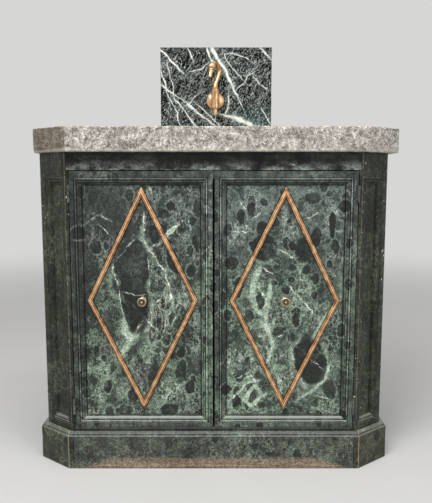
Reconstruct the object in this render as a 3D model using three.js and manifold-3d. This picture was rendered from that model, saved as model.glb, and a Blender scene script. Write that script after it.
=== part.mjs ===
// A painted washstand: a canted cabinet with two panelled doors, a stone top with a
// carved basin, and a stone backsplash that carries a swan-neck tap.
// Millimetres, +Z up, front towards -Y. The origin is on the floor under the middle.

import * as THREE from 'three';
import { mergeVertices } from 'three/addons/utils/BufferGeometryUtils.js';
import Module from 'manifold-3d';

const wasm = await Module();
wasm.setup();

// Clearances between pieces that meet
const jointGap = 0.3;
const runningGap = 0.08;

// Cabinet body: its plan is a rectangle with both front corners cut off
const bodyFrontHalf = 367;
const cantAcross = 77;
const cantDeep = 60;
const bodyDepth = 438;
const carcassHeight = 806;
const sideThick = 18;
const backThick = 12;
const backRebate = 9;
const cantThick = 24;
const postFace = 8;
const floorThick = 19;
const floorHousing = 6;
const bearerThick = 20;
const friezeHeight = 43;
const friezeThick = 22;
const friezeLap = 4;

// Plinth boards stand proud of the body and carry a capping moulding
const plinthHeight = 83;
const plinthThick = 16.6;
const plinthReturn = 25;
const capHeight = 11.5;

// Moulding worked on the inner edges of the doors and of the canted frames
const mouldWidth = 17.5;
const beadWidth = 5.4;
const beadHeight = 1.4;
const panelSetback = 8.5;
const panelThick = 8;
const panelTongue = 8;

// Doors
const doorThick = 22;
const doorGap = 2.5;
const meetingGap = 5;
const hingeGap = 2;
const doorStileFlat = 12;
const doorTopFlat = 16;
const doorBottomFlat = 12.5;

// Canted frames
const cantFrontFlat = 6;
const cantBackFlat = 19;
const cantTopFlat = 60;
const cantBottomFlat = 111;

// Lozenge bars on the door panels
const barWidth = 11;
const barHeight = 8;
const lozengeSideMargin = 8.5;
const lozengeTopMargin = 4;
const lozengeBottomMargin = 14.5;

// Knobs
const knobRadius = 12;
const knobReach = 25;
const knobNeckRadius = 4.6;
const knobShankRadius = 2.5;
const knobShankProud = 5;

// Butt hinges with a proud barrel
const hingeHeight = 40;
const hingeInset = 56;
const hingeLeafThick = 1.6;
const hingeLeafDeep = 20;
const barrelRadius = 3.1;
const barrelProud = 3.4;
const pinRadius = 1.3;
const pinHeadRadius = 2.4;
const pinHeadHeight = 1.2;
const knuckleCount = 5;

// Magnetic catch behind the frieze: both doors close against it
const catchWidth = 110;
const catchDeep = 14;
const catchHeight = 45;
const catchDrop = 20;

// Stone top: it lies a little to the right of the cabinet's middle
const stoneShift = 6;
const slabThick = 64;
const slabSideOverhang = 23;
const slabFrontOverhang = 12;
const slabCantOverhang = 14;
const slabArris = 3;
const basinWidth = 430;
const basinLength = 280;
const basinCorner = 70;
const basinDepth = 45;
const basinFillet = 20;
const basinBackMargin = 46;

// Backsplash, bedded on the stone top
const splashWidth = 345;
const splashHeight = 277;
const splashThick = 20;
const splashArris = 1.2;

// Tap: a tapered plug turns in a vertical barrel and carries the spout. It stands a little
// to the left of the backsplash's middle.
const tapShift = -2.7;
const tapHeight = 115;
const tapReach = 48;
const rosetteRadius = 26.5;
const rosetteThick = 7.5;
const shankRadius = 10.5;
const shankBore = 6;
const shankBoreDeep = 40;
const shankBehind = 30;
const backnutRadius = 19;
const backnutThick = 9;
const barrelHeight = 56;
const barrelTop = 13.2;
const barrelFoot = 11.4;
const barrelCrown = 10.4;
const plugTop = 8.4;
const plugFoot = 6.4;
const collarHeight = 7;
const collarRadius = 9.8;
const neckBase = 7.4;
const neckMiddle = 6.2;
const neckHead = 8.8;
const neckBackBend = 20;
const neckReach = 14;
const neckRise = 75;
const headRadius = 11.5;
const beakLength = 35;
const beakLean = 0.32;
const beakTop = 7.2;
const beakTip = 5.4;
const outletRadius = 2.6;
const outletDeep = 8;
const tailNutRadius = 6.9;
const tailNutHeight = 21;
const tailRadius = 3.6;
const tailProud = 2;
const spoutTurn = 40;

// Waste and trap
const strainerRadius = 30;
const strainerThick = 3;
const strainerHole = 3.4;
const strainerHoleCount = 6;
const strainerHoleCircle = 10.5;
const wasteStubRadius = 20;
const wasteStubBelow = 26;
const wastePipeRadius = 16;
const wasteWall = 2.2;
const wasteFit = 0.4;
const wastePipeLength = 96;
const wastePipeSunk = 18;
const trapBend = 36;
const trapDip = 24;
const trapOverlap = 26;
const trapBeyondBack = 30;
const locknutRadius = 29;
const locknutThick = 9;
const slipNutRadius = 25;
const slipNutHeight = 18;

// Sizes worked out from the driving ones
const cantAngle = Math.atan2(cantDeep, cantAcross);
const cantWidth = Math.hypot(cantAcross, cantDeep);
const bodyHalf = bodyFrontHalf + cantAcross;
const sideInner = bodyHalf - sideThick;
const backFront = bodyDepth - backThick;
const postInner = bodyFrontHalf - postFace;
const floorTop = plinthHeight + floorThick;
const friezeBottom = carcassHeight - friezeHeight;
const doorBottom = floorTop + doorGap;
const doorHeight = friezeBottom - doorGap - doorBottom;
const doorWidth = postInner - hingeGap - meetingGap / 2;
const doorMiddle = meetingGap / 2 + doorWidth / 2;
const hingeX = postInner - hingeGap / 2;
const panelFront = panelSetback;
const panelBack = panelSetback + panelThick;
const slabHalf = bodyHalf + slabSideOverhang;
const slabTop = carcassHeight + slabThick;
const splashFront = bodyDepth - splashThick;
const tapAxisY = splashFront - tapReach;
const tapAxisZ = slabTop + tapHeight;
const basinBack = splashFront - basinBackMargin;
const basinMiddleY = basinBack - basinLength / 2;
const basinFloor = slabTop - basinDepth;
const frontMost = -Math.max(plinthThick, slabFrontOverhang, knobReach - panelSetback);
const backMost = bodyDepth + Math.max(shankBehind, trapBeyondBack);
const middleY = (frontMost + backMost) / 2;

const AXIS_X = new THREE.Vector3(1, 0, 0);
const AXIS_Y = new THREE.Vector3(0, 1, 0);
const AXIS_Z = new THREE.Vector3(0, 0, 1);

// Keeps positions only, merges them, drops collapsed triangles and turns the faces outward.
function closed(geometry) {
  const bare = new THREE.BufferGeometry();
  bare.setAttribute('position', geometry.getAttribute('position').clone());
  if (geometry.index) bare.setIndex(geometry.index.clone());
  const merged = mergeVertices(bare, 1e-4);
  const position = merged.getAttribute('position');
  const index = merged.index.array;
  const kept = [];
  let volume = 0;
  const a = new THREE.Vector3();
  const b = new THREE.Vector3();
  const c = new THREE.Vector3();
  for (let i = 0; i < index.length; i += 3) {
    const [p, q, r] = [index[i], index[i + 1], index[i + 2]];
    if (p === q || q === r || r === p) continue;
    a.fromBufferAttribute(position, p);
    b.fromBufferAttribute(position, q);
    c.fromBufferAttribute(position, r);
    volume += a.dot(b.cross(c));
    kept.push(p, q, r);
  }
  if (volume < 0) {
    for (let i = 0; i < kept.length; i += 3) {
      [kept[i + 1], kept[i + 2]] = [kept[i + 2], kept[i + 1]];
    }
  }
  merged.setIndex(kept);
  return merged;
}

function solidOf(geometry) {
  const shell = closed(geometry);
  return new wasm.Manifold(new wasm.Mesh({
    numProp: 3,
    vertProperties: new Float32Array(shell.getAttribute('position').array),
    triVerts: new Uint32Array(shell.index.array),
  }));
}

function geometryOf(solid) {
  const mesh = solid.getMesh();
  const geometry = new THREE.BufferGeometry();
  geometry.setAttribute('position', new THREE.BufferAttribute(new Float32Array(mesh.vertProperties), 3));
  geometry.setIndex(new THREE.BufferAttribute(new Uint32Array(mesh.triVerts), 1));
  return geometry;
}

function join(first, ...others) {
  return geometryOf(others.reduce((sum, other) => sum.add(solidOf(other)), solidOf(first)));
}

function cut(first, ...cutters) {
  return geometryOf(cutters.reduce((rest, cutter) => rest.subtract(solidOf(cutter)), solidOf(first)));
}

function box(low, high) {
  const size = high.map((value, i) => value - low[i]);
  const middle = high.map((value, i) => (value + low[i]) / 2);
  return new THREE.BoxGeometry(...size).translate(...middle);
}

// The same box on the right, or mirrored to the left.
function boxOnSide(side, low, high) {
  const [near, far] = [side * low[0], side * high[0]];
  return box([Math.min(near, far), low[1], low[2]], [Math.max(near, far), high[1], high[2]]);
}

function outline(points) {
  return new THREE.Shape(points.map(([x, y]) => new THREE.Vector2(x, y)));
}

// A vertical prism on a plan outline.
function prism(points, bottom, top) {
  const settings = { depth: top - bottom, bevelEnabled: false };
  return new THREE.ExtrudeGeometry(outline(points), settings).translate(0, 0, bottom);
}

// A profile of [across, depth] points run along X from one place to another.
function runAlong(profile, from, to) {
  const bar = new THREE.ExtrudeGeometry(outline(profile), { depth: to - from, bevelEnabled: false });
  bar.applyMatrix4(new THREE.Matrix4().makeBasis(AXIS_Y, AXIS_Z, AXIS_X));
  return bar.translate(from, 0, 0);
}

// Turns a piece drawn as (along, across, depth) onto three axes and moves it to a place.
function laid(geometry, along, across, depth, place = [0, 0, 0]) {
  const matrix = new THREE.Matrix4().makeBasis(along, across, depth).setPosition(...place);
  return closed(geometry).applyMatrix4(matrix);
}

// A turned piece: the profile holds [radius, height] points and the axis is +Z.
function turned(profile, sides) {
  const points = profile.map(([radius, height]) => new THREE.Vector2(radius, height));
  return new THREE.LatheGeometry(points, sides).rotateX(Math.PI / 2);
}

function tube(outer, inner, bottom, top, sides) {
  const ring = [[inner, bottom], [outer, bottom], [outer, top], [inner, top], [inner, bottom]];
  return turned(ring, sides);
}

function rod(radius, bottom, top, sides) {
  return turned([[0, bottom], [radius, bottom], [radius, top], [0, top]], sides);
}

// Closed skin over a row of matching rings of points. The row has flat ends, or it comes
// back to its first ring.
function skinned(rings, isLoop = false) {
  const sides = rings[0].length;
  const position = rings.flat().flatMap((point) => point.toArray());
  const index = [];
  const bands = isLoop ? rings.length : rings.length - 1;
  for (let band = 0; band < bands; band += 1) {
    const [near, far] = [band * sides, ((band + 1) % rings.length) * sides];
    for (let side = 0; side < sides; side += 1) {
      const next = (side + 1) % sides;
      index.push(near + side, near + next, far + next);
      index.push(near + side, far + next, far + side);
    }
  }
  const last = (rings.length - 1) * sides;
  for (let side = 1; side < sides - 1 && !isLoop; side += 1) {
    index.push(0, side + 1, side);
    index.push(last, last + side, last + side + 1);
  }
  const geometry = new THREE.BufferGeometry();
  geometry.setAttribute('position', new THREE.Float32BufferAttribute(position, 3));
  geometry.setIndex(index);
  return geometry;
}

// A profile of [out, up] points run between two mitred ends, each end given by a function
// that says where a point that far out lies in plan.
function mitred(profile, startOf, endOf) {
  const faces = THREE.ShapeUtils.triangulateShape(outline(profile).getPoints(), []);
  const place = (end) => profile.flatMap(([out, up]) => [...end(out), up]);
  const position = [...place(startOf), ...place(endOf)];
  const count = profile.length;
  const index = [];
  for (const [a, b, c] of faces) {
    index.push(a, b, c, a + count, c + count, b + count);
  }
  const turn = THREE.ShapeUtils.isClockWise(outline(profile).getPoints()) ? 1 : -1;
  for (let i = 0; i < count; i += 1) {
    const next = (i + 1) % count;
    const quad = turn > 0
      ? [i, next, next + count, i, next + count, i + count]
      : [i, next + count, next, i, i + count, next + count];
    index.push(...quad);
  }
  const geometry = new THREE.BufferGeometry();
  geometry.setAttribute('position', new THREE.Float32BufferAttribute(position, 3));
  geometry.setIndex(index);
  return geometry;
}

// Plan of the right canted corner: where its two corners lie when every face is moved out.
const frontCorner = (out) => [bodyFrontHalf + out * Math.tan(cantAngle / 2), -out];
const backCorner = (out) => [
  bodyHalf + out,
  cantDeep - out * Math.cos(cantAngle) / (1 + Math.sin(cantAngle)),
];
const cantLineY = (x, out) => (
  (x - bodyFrontHalf - out * Math.sin(cantAngle)) * Math.tan(cantAngle) - out * Math.cos(cantAngle)
);
const mirroredPlan = (points, side) => points.map(([x, y]) => [side * x, y]);

// Moulding: a flush bead, a quirk, an ovolo and a fillet down to the panel.
function mouldingPoints(flat) {
  const points = [[flat, 0], [flat + 0.3, beadHeight]];
  const beadSteps = 4;
  for (let i = 0; i <= beadSteps; i += 1) {
    const turn = Math.PI * (1 - i / beadSteps);
    points.push([
      flat + beadWidth / 2 + (beadWidth / 2 - 0.4) * Math.cos(turn),
      beadHeight * (1 - Math.sin(turn)) + 0.1,
    ]);
  }
  const ovoloStart = flat + beadWidth + 0.8;
  const ovoloEnd = flat + mouldWidth - 3;
  const ovoloTop = beadHeight;
  const ovoloFoot = panelSetback - 1.5;
  points.push([flat + beadWidth + 0.2, beadHeight + 0.8], [ovoloStart, beadHeight + 0.8]);
  const ovoloSteps = 5;
  for (let i = 0; i <= ovoloSteps; i += 1) {
    const turn = (Math.PI / 2) * (i / ovoloSteps);
    points.push([
      ovoloStart + (ovoloEnd - ovoloStart) * Math.sin(turn),
      ovoloTop + (ovoloFoot - ovoloTop) * (1 - Math.cos(turn)),
    ]);
  }
  points.push([flat + mouldWidth, ovoloFoot]);
  return points;
}

// The groove that holds a panel, from the sight edge inwards and back out.
function groovePoints(sightEdge) {
  const front = panelSetback - jointGap;
  const back = panelSetback + panelThick + jointGap;
  return [
    [sightEdge, front],
    [sightEdge - panelTongue, front],
    [sightEdge - panelTongue, back],
    [sightEdge, back],
  ];
}

function memberProfile(flat, thick) {
  const sightEdge = flat + mouldWidth;
  return [[0, 0], ...mouldingPoints(flat), ...groovePoints(sightEdge), [sightEdge, thick], [0, thick]];
}

// Cutter for one end of a member: it takes off the moulding beyond a 45 degree mitre.
// The plan is (along, across); end is -1 at the start of the member and +1 at its finish.
function mitreCutter(flat, shoulder, end, thick) {
  const beyond = mouldWidth + 10;
  const halfGap = jointGap / Math.SQRT2;
  const start = shoulder - end * halfGap;
  const plan = [
    [start, flat],
    [start - end * beyond, flat + beyond],
    [start + end * 1000, flat + beyond],
    [start + end * 1000, flat],
  ];
  return new THREE.ExtrudeGeometry(outline(plan), { depth: thick + 10, bevelEnabled: false })
    .translate(0, 0, -5);
}

// A stile runs the whole length; a rail runs between the flats of its stiles.
function frameMember({ flat, length, startFlat, endFlat, thick, isRail }) {
  const from = isRail ? startFlat + jointGap : 0;
  const to = isRail ? length - endFlat - jointGap : length;
  const bar = runAlong(memberProfile(flat, thick), from, to);
  return cut(
    bar,
    mitreCutter(flat, startFlat, -1, thick),
    mitreCutter(flat, length - endFlat, 1, thick),
  );
}

const finish = (color, roughness, metalness) => (
  new THREE.MeshStandardMaterial({ color, roughness, metalness })
);
const paintedWood = () => finish(0x3c4a43, 0.6, 0);
const marbledPanel = () => finish(0x4d6156, 0.5, 0);
const bareWood = () => finish(0x6b5238, 0.75, 0);
const copperWood = () => finish(0xb07a48, 0.45, 0.2);
const greyStone = () => finish(0x8f8b86, 0.6, 0);
const greenMarble = () => finish(0x1e2b27, 0.25, 0);
const brass = () => finish(0xb58a4a, 0.35, 1);
const agedBrass = () => finish(0x9a7660, 0.45, 1);
const paintedMetal = () => finish(0x3f4a44, 0.6, 0.3);
const steel = () => finish(0x8a8c8e, 0.4, 1);

function add(group, name, geometry, material) {
  const mesh = new THREE.Mesh(closed(geometry), material);
  mesh.name = name;
  group.add(mesh);
  return mesh;
}

const sideName = (side) => (side < 0 ? 'left' : 'right');

// Cabinet body

function friezeSolid(grow) {
  const half = bodyFrontHalf - friezeLap + grow;
  return box([-half, -grow, friezeBottom - grow], [half, friezeThick + grow, carcassHeight + grow]);
}

// A hinge leaf as a plate on one side of the hinge line, in plan from the front face back.
function leafSpan(side, toward) {
  const inner = hingeX + toward * jointGap / 2;
  const outer = inner + toward * hingeLeafThick;
  return side * toward > 0 ? [side * inner, side * outer] : [side * outer, side * inner];
}

const hingeLevels = [
  doorBottom + hingeInset,
  doorBottom + doorHeight - hingeInset,
];

function leafMortise(side, toward, level) {
  const [low, high] = leafSpan(side, toward);
  const half = hingeHeight / 2 + jointGap;
  return box(
    [low - jointGap, -1, level - half],
    [high + jointGap, hingeLeafDeep + jointGap, level + half],
  );
}

// The canted frame is drawn in its own flat frame: u runs along its face, v goes into the
// cabinet. On the right u starts at the front corner, on the left at the back corner.
function makeCant(side) {
  const group = new THREE.Group();
  const right = side > 0;
  group.position.set(right ? bodyFrontHalf : -bodyHalf, right ? 0 : cantDeep, 0);
  group.rotation.z = side * cantAngle;
  group.updateMatrix();
  const toLocal = group.matrix.clone().invert();
  const across = (points) => points.map(([u, v]) => [right ? u : cantWidth - u, v]);
  const [cosine, sine] = [Math.cos(cantAngle), Math.sin(cantAngle)];
  const facePoint = [-postFace * cosine, postFace * sine];
  const faceDepth = (cantThick - facePoint[1]) / cosine;
  const innerPoint = [facePoint[0] + faceDepth * sine, cantThick];
  const sidePointX = sideInner;
  const sidePointY = cantLineY(sideInner, -cantThick);
  const sidePoint = [
    (sidePointX - bodyFrontHalf) * cosine + sidePointY * sine,
    cantThick,
  ];

  const stileEnds = (flat, startsAtZero) => {
    const cutters = [
      mitreCutter(flat, cantBottomFlat, -1, cantThick),
      mitreCutter(flat, carcassHeight - cantTopFlat, 1, cantThick),
    ];
    const acrossAxis = startsAtZero === right ? AXIS_X : AXIS_X.clone().negate();
    const place = startsAtZero === right ? 0 : cantWidth;
    return cutters.map((cutter) => laid(cutter, AXIS_Z, acrossAxis, AXIS_Y, [place, 0, 0]));
  };

  const frontPlan = [
    [0, 0],
    ...mouldingPoints(cantFrontFlat),
    ...groovePoints(cantFrontFlat + mouldWidth),
    [cantFrontFlat + mouldWidth, cantThick],
    innerPoint,
    facePoint,
  ];
  const mortises = hingeLevels.map((level) => leafMortise(side, 1, level).applyMatrix4(toLocal));
  const frontStile = cut(
    prism(across(frontPlan), 0, carcassHeight),
    ...stileEnds(cantFrontFlat, true),
    friezeSolid(jointGap).applyMatrix4(toLocal),
    ...mortises,
  );

  const backPlan = [
    [0, 0],
    ...mouldingPoints(cantBackFlat),
    ...groovePoints(cantBackFlat + mouldWidth),
    [cantBackFlat + mouldWidth, cantThick],
    [cantWidth - sidePoint[0], cantThick],
  ].map(([u, v]) => [cantWidth - u, v]);
  const backStile = cut(
    prism(across(backPlan), 0, carcassHeight),
    ...stileEnds(cantBackFlat, false),
  );

  const flats = right ? [cantFrontFlat, cantBackFlat] : [cantBackFlat, cantFrontFlat];
  const rail = (flat) => frameMember({
    flat,
    length: cantWidth,
    startFlat: flats[0],
    endFlat: flats[1],
    thick: cantThick,
    isRail: true,
  });
  const down = AXIS_Z.clone().negate();
  const pastPost = boxOnSide(side, [postInner - cantDeep, -1, -1], [postInner, cantDeep, carcassHeight + 1])
    .applyMatrix4(toLocal);
  const frieze = friezeSolid(jointGap).applyMatrix4(toLocal);
  const topRail = cut(
    laid(rail(cantTopFlat), AXIS_X, down, AXIS_Y, [0, 0, carcassHeight]),
    pastPost,
    frieze,
  );
  const bottomRail = cut(laid(rail(cantBottomFlat), AXIS_X, AXIS_Z, AXIS_Y), pastPost);

  const edge = mouldWidth - panelTongue + jointGap;
  const panel = box(
    [flats[0] + edge, panelFront, cantBottomFlat + edge],
    [cantWidth - flats[1] - edge, panelBack, carcassHeight - cantTopFlat - edge],
  );

  const name = sideName(side);
  add(group, `cant_post_front_${name}`, frontStile, paintedWood());
  add(group, `cant_stile_back_${name}`, backStile, paintedWood());
  add(group, `cant_rail_top_${name}`, topRail, paintedWood());
  add(group, `cant_rail_bottom_${name}`, bottomRail, paintedWood());
  add(group, `cant_panel_${name}`, panel, marbledPanel());
  return group;
}

// Side board: mitred to the canted frame in front, rebated for the back and housed for the floor.
function makeSide(side) {
  const plan = mirroredPlan([
    [bodyHalf, cantDeep + jointGap],
    [bodyHalf, bodyDepth],
    [bodyHalf - sideThick + backRebate, bodyDepth],
    [bodyHalf - sideThick + backRebate, backFront],
    [sideInner, backFront],
    [sideInner, cantLineY(sideInner, -cantThick) + jointGap],
  ], side);
  const housing = boxOnSide(
    side,
    [sideInner - 1, cantDeep + sideThick, plinthHeight - jointGap],
    [sideInner + floorHousing, backFront + 1, floorTop + jointGap],
  );
  return cut(prism(plan, 0, carcassHeight), housing);
}

function makeFloor() {
  const inset = cantThick + jointGap;
  const corner = postInner - jointGap;
  const wall = sideInner - jointGap;
  const tongue = sideInner + floorHousing - jointGap;
  const tongueStart = cantDeep + sideThick + jointGap;
  const half = [
    [corner, 0],
    [corner, cantLineY(corner, -inset)],
    [wall, cantLineY(wall, -inset)],
    [wall, tongueStart],
    [tongue, tongueStart],
    [tongue, backFront - jointGap],
  ];
  const plan = [...half, ...mirroredPlan(half, -1).reverse()];
  return prism(plan, plinthHeight, floorTop);
}

// The trap leaves through the back on the stone's middle, not the cabinet's.
const trapRadius = wastePipeRadius + wasteFit + wasteWall;
const wasteTop = carcassHeight - wasteStubBelow + wastePipeSunk;
const wastePipeFoot = wasteTop - wastePipeLength;
const trapMouth = wastePipeFoot + trapOverlap;
const outletLevel = wastePipeFoot - trapDip + trapBend;

function makeBack() {
  const half = bodyHalf - sideThick + backRebate - jointGap;
  const board = box([-half, backFront + jointGap, 0], [half, bodyDepth, carcassHeight]);
  const hole = rod(trapRadius + 2, backFront - 5, bodyDepth + 5, 28)
    .rotateX(-Math.PI / 2)
    .translate(stoneShift, 0, outletLevel);
  return cut(board, hole);
}

const seatOnBody = jointGap;

function makePlinth(group) {
  const seam = bodyFrontHalf + plinthThick * Math.tan(cantAngle / 2) - plinthReturn;
  const front = box([-seam, -plinthThick, 0], [seam, -seatOnBody, plinthHeight]);
  add(group, 'plinth_front', front, paintedWood());
  for (const side of [-1, 1]) {
    const cantPlan = mirroredPlan([
      [seam + jointGap, -plinthThick],
      frontCorner(plinthThick),
      backCorner(plinthThick),
      backCorner(seatOnBody),
      frontCorner(seatOnBody),
      [seam + jointGap, -seatOnBody],
    ], side);
    add(group, `plinth_cant_${sideName(side)}`, prism(cantPlan, 0, plinthHeight), paintedWood());
  }
}

// Capping moulding: a weathered top with a rounded nose over a small ovolo. The side boards
// have it worked on their own top edge.
function capProfile() {
  const nose = plinthThick - 4.2;
  return [
    [seatOnBody, 0],
    [plinthThick, 0],
    [plinthThick, 1.8],
    [plinthThick - 0.7, 3.3],
    [plinthThick - 2.2, 4.4],
    [nose, 4.9],
    [nose, capHeight - 3.4],
    [nose - 0.6, capHeight - 2.5],
    [nose - 1.8, capHeight - 1.9],
    [seatOnBody, capHeight],
  ];
}

function makeCaps(group) {
  const profile = capProfile();
  const halfGap = jointGap / 2;
  const raised = (geometry) => geometry.translate(0, 0, plinthHeight);
  const near = (corner, side, dx, dy) => (out) => {
    const [x, y] = corner(out);
    return [side * (x + dx), y + dy];
  };
  const front = mitred(profile, near(frontCorner, -1, -halfGap, 0), near(frontCorner, 1, -halfGap, 0));
  add(group, 'plinth_cap_front', raised(front), paintedWood());
  for (const side of [-1, 1]) {
    const cantLength = mitred(
      profile,
      near(frontCorner, side, halfGap, halfGap * Math.tan(cantAngle)),
      near(backCorner, side, 0, -halfGap),
    );
    add(group, `plinth_cap_cant_${sideName(side)}`, raised(cantLength), paintedWood());
    const backEnd = (out) => [side * (bodyHalf + out), bodyDepth];
    const sideProfile = profile.map(([out, up]) => [out, up > 0 ? up + plinthHeight : 0]);
    const sideBoard = mitred(sideProfile, near(backCorner, side, 0, halfGap), backEnd);
    add(group, `plinth_side_${sideName(side)}`, sideBoard, paintedWood());
  }
}

// One block behind the frieze holds the magnets for both doors.
function makeCatchBlock() {
  const chamfer = 2;
  const front = friezeThick + jointGap;
  const half = catchWidth / 2;
  const plan = [
    [-half, front],
    [half, front],
    [half, front + catchDeep - chamfer],
    [half - chamfer, front + catchDeep],
    [-half + chamfer, front + catchDeep],
    [-half, front + catchDeep - chamfer],
  ];
  const bottom = friezeBottom - catchDrop;
  return prism(plan, bottom, bottom + catchHeight);
}

// Hinges

const knuckleSides = 12;
const knuckleHeight = (hingeHeight - (knuckleCount - 1) * jointGap) / knuckleCount;
const knuckleBottom = (level, i) => level - hingeHeight / 2 + i * (knuckleHeight + jointGap);

// One leaf with its share of the knuckles; toward is +1 for the post's leaf, -1 for the door's.
// The pin is fixed in the post's knuckles and the door's knuckles turn on it.
function hingeLeaf(side, toward, level) {
  const onHingeLine = (geometry) => geometry.translate(side * hingeX, -barrelProud, 0);
  const [low, high] = leafSpan(side, toward);
  const plate = box(
    [low, jointGap, level - hingeHeight / 2],
    [high, hingeLeafDeep, level + hingeHeight / 2],
  );
  const parts = [];
  for (let i = toward > 0 ? 0 : 1; i < knuckleCount; i += 2) {
    const bottom = knuckleBottom(level, i);
    parts.push(onHingeLine(rod(barrelRadius, bottom, bottom + knuckleHeight, knuckleSides)));
    parts.push(box([low, -barrelProud, bottom], [high, jointGap + 1, bottom + knuckleHeight]));
  }
  if (toward > 0) return join(plate, ...parts, onHingeLine(hingePin(level)));
  const bore = rod(pinRadius + runningGap, level - hingeHeight, level + hingeHeight, knuckleSides);
  return cut(join(plate, ...parts), onHingeLine(bore));
}

function hingePin(level) {
  const [bottom, top] = [level - hingeHeight / 2, level + hingeHeight / 2];
  return turned([
    [0, bottom - pinHeadHeight],
    [pinHeadRadius * 0.7, bottom - pinHeadHeight],
    [pinHeadRadius, bottom - pinHeadHeight / 2],
    [pinHeadRadius, bottom + 1],
    [pinRadius, bottom + 1],
    [pinRadius, top - 1],
    [pinHeadRadius, top - 1],
    [pinHeadRadius, top + pinHeadHeight / 2],
    [pinHeadRadius * 0.7, top + pinHeadHeight],
    [0, top + pinHeadHeight],
  ], knuckleSides);
}

function addHinges(group, side, toward, holder) {
  for (const [level, place] of [[hingeLevels[1], 'top'], [hingeLevels[0], 'bottom']]) {
    const name = `hinge_${place}_${sideName(side)}_${holder}_leaf`;
    add(group, name, hingeLeaf(side, toward, level), paintedMetal());
  }
}

// Doors: drawn in the cabinet's frame, the left one with side -1.

function lozengeProfile() {
  const step = 2.4;
  const crown = 1.2;
  const points = [[0, 0], [0, step], [crown, step + 0.4]];
  const arcSteps = 6;
  for (let i = 0; i <= arcSteps; i += 1) {
    const turn = Math.PI * (1 - i / arcSteps);
    points.push([
      barWidth / 2 + (barWidth / 2 - crown) * Math.cos(turn),
      step + 0.6 + (barHeight - step - 0.6) * Math.sin(turn),
    ]);
  }
  points.push([barWidth - crown, step + 0.4], [barWidth, step], [barWidth, 0]);
  return points;
}

// The bars form a rhombus, mitred at its four tips; each tip is one section of the loop.
function makeLozenge(halfWidth, halfHeight, middleX, middleZ) {
  const flatToMiddle = (halfWidth * halfHeight) / Math.hypot(halfWidth, halfHeight);
  const tips = [[halfWidth, 0], [0, halfHeight], [-halfWidth, 0], [0, -halfHeight]];
  const rings = tips.map(([x, z]) => lozengeProfile().map(([inward, up]) => {
    const share = 1 - inward / flatToMiddle;
    return new THREE.Vector3(middleX + x * share, panelFront - jointGap - up, middleZ + z * share);
  }));
  return skinned(rings, true);
}

function makeKnob(middleX, middleZ) {
  const shankEnd = -(panelThick + knobShankProud);
  const profile = [
    [0, shankEnd],
    [knobShankRadius, shankEnd],
    [knobShankRadius, jointGap],
    [knobRadius * 0.68, jointGap],
    [knobRadius * 0.68, 2],
    [knobNeckRadius + 1, 3.4],
    [knobNeckRadius, 6.5],
    [knobNeckRadius + 0.8, knobReach - 12],
    [knobRadius * 0.8, knobReach - 9],
    [knobRadius, knobReach - 5.6],
    [knobRadius, knobReach - 3.6],
    [knobRadius - 1.2, knobReach - 2.4],
    [knobRadius - 3, knobReach - 2.6],
    [knobRadius - 4.2, knobReach - 4.4],
    [knobRadius * 0.42, knobReach - 4.4],
    [knobRadius * 0.36, knobReach - 1],
    [knobRadius * 0.2, knobReach],
    [0, knobReach],
  ];
  return turned(profile, 20)
    .rotateX(Math.PI / 2)
    .translate(middleX, panelFront, middleZ);
}

function knobHole(middleX, middleZ) {
  return rod(knobShankRadius + jointGap, -5, panelThick + 5, 16)
    .rotateX(-Math.PI / 2)
    .translate(middleX, panelFront, middleZ);
}

function makeDoor(group, side) {
  const name = sideName(side);
  const leftEdge = side * doorMiddle - doorWidth / 2;
  const rightEdge = leftEdge + doorWidth;
  const stile = frameMember({
    flat: doorStileFlat,
    length: doorHeight,
    startFlat: doorBottomFlat,
    endFlat: doorTopFlat,
    thick: doorThick,
    isRail: false,
  });
  const rail = (flat) => frameMember({
    flat,
    length: doorWidth,
    startFlat: doorStileFlat,
    endFlat: doorStileFlat,
    thick: doorThick,
    isRail: true,
  });
  const leftward = AXIS_X.clone().negate();
  const down = AXIS_Z.clone().negate();
  const leftStile = laid(stile, AXIS_Z, AXIS_X, AXIS_Y, [leftEdge, 0, doorBottom]);
  const rightStile = laid(stile, AXIS_Z, leftward, AXIS_Y, [rightEdge, 0, doorBottom]);
  const hingeStile = side < 0 ? leftStile : rightStile;
  const meetingStile = side < 0 ? rightStile : leftStile;
  const mortises = hingeLevels.map((level) => leafMortise(side, -1, level));
  add(group, `door_stile_hinge_${name}`, cut(hingeStile, ...mortises), paintedWood());
  add(group, `door_stile_meeting_${name}`, meetingStile, paintedWood());
  const topRail = laid(rail(doorTopFlat), AXIS_X, down, AXIS_Y, [leftEdge, 0, doorBottom + doorHeight]);
  add(group, `door_rail_top_${name}`, topRail, paintedWood());
  const bottomRail = laid(rail(doorBottomFlat), AXIS_X, AXIS_Z, AXIS_Y, [leftEdge, 0, doorBottom]);
  add(group, `door_rail_bottom_${name}`, bottomRail, paintedWood());

  const sight = {
    left: leftEdge + doorStileFlat + mouldWidth,
    right: rightEdge - doorStileFlat - mouldWidth,
    bottom: doorBottom + doorBottomFlat + mouldWidth,
    top: doorBottom + doorHeight - doorTopFlat - mouldWidth,
  };
  const tongue = panelTongue - jointGap;
  const middleX = (sight.left + sight.right) / 2;
  const lozengeTop = sight.top - lozengeTopMargin;
  const lozengeBottom = sight.bottom + lozengeBottomMargin;
  const middleZ = (lozengeTop + lozengeBottom) / 2;
  const reach = (lozengeTop - lozengeBottom) / 2;
  const panel = box(
    [sight.left - tongue, panelFront, sight.bottom - tongue],
    [sight.right + tongue, panelBack, sight.top + tongue],
  );
  add(group, `door_panel_${name}`, cut(panel, knobHole(middleX, middleZ)), marbledPanel());
  const halfWidth = (sight.right - sight.left) / 2 - lozengeSideMargin;
  const lozenge = makeLozenge(halfWidth, reach, middleX, middleZ);
  add(group, `lozenge_${name}`, lozenge, copperWood());
  add(group, `knob_${name}`, makeKnob(middleX, middleZ), agedBrass());
  addHinges(group, side, -1, 'door');
}

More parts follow.
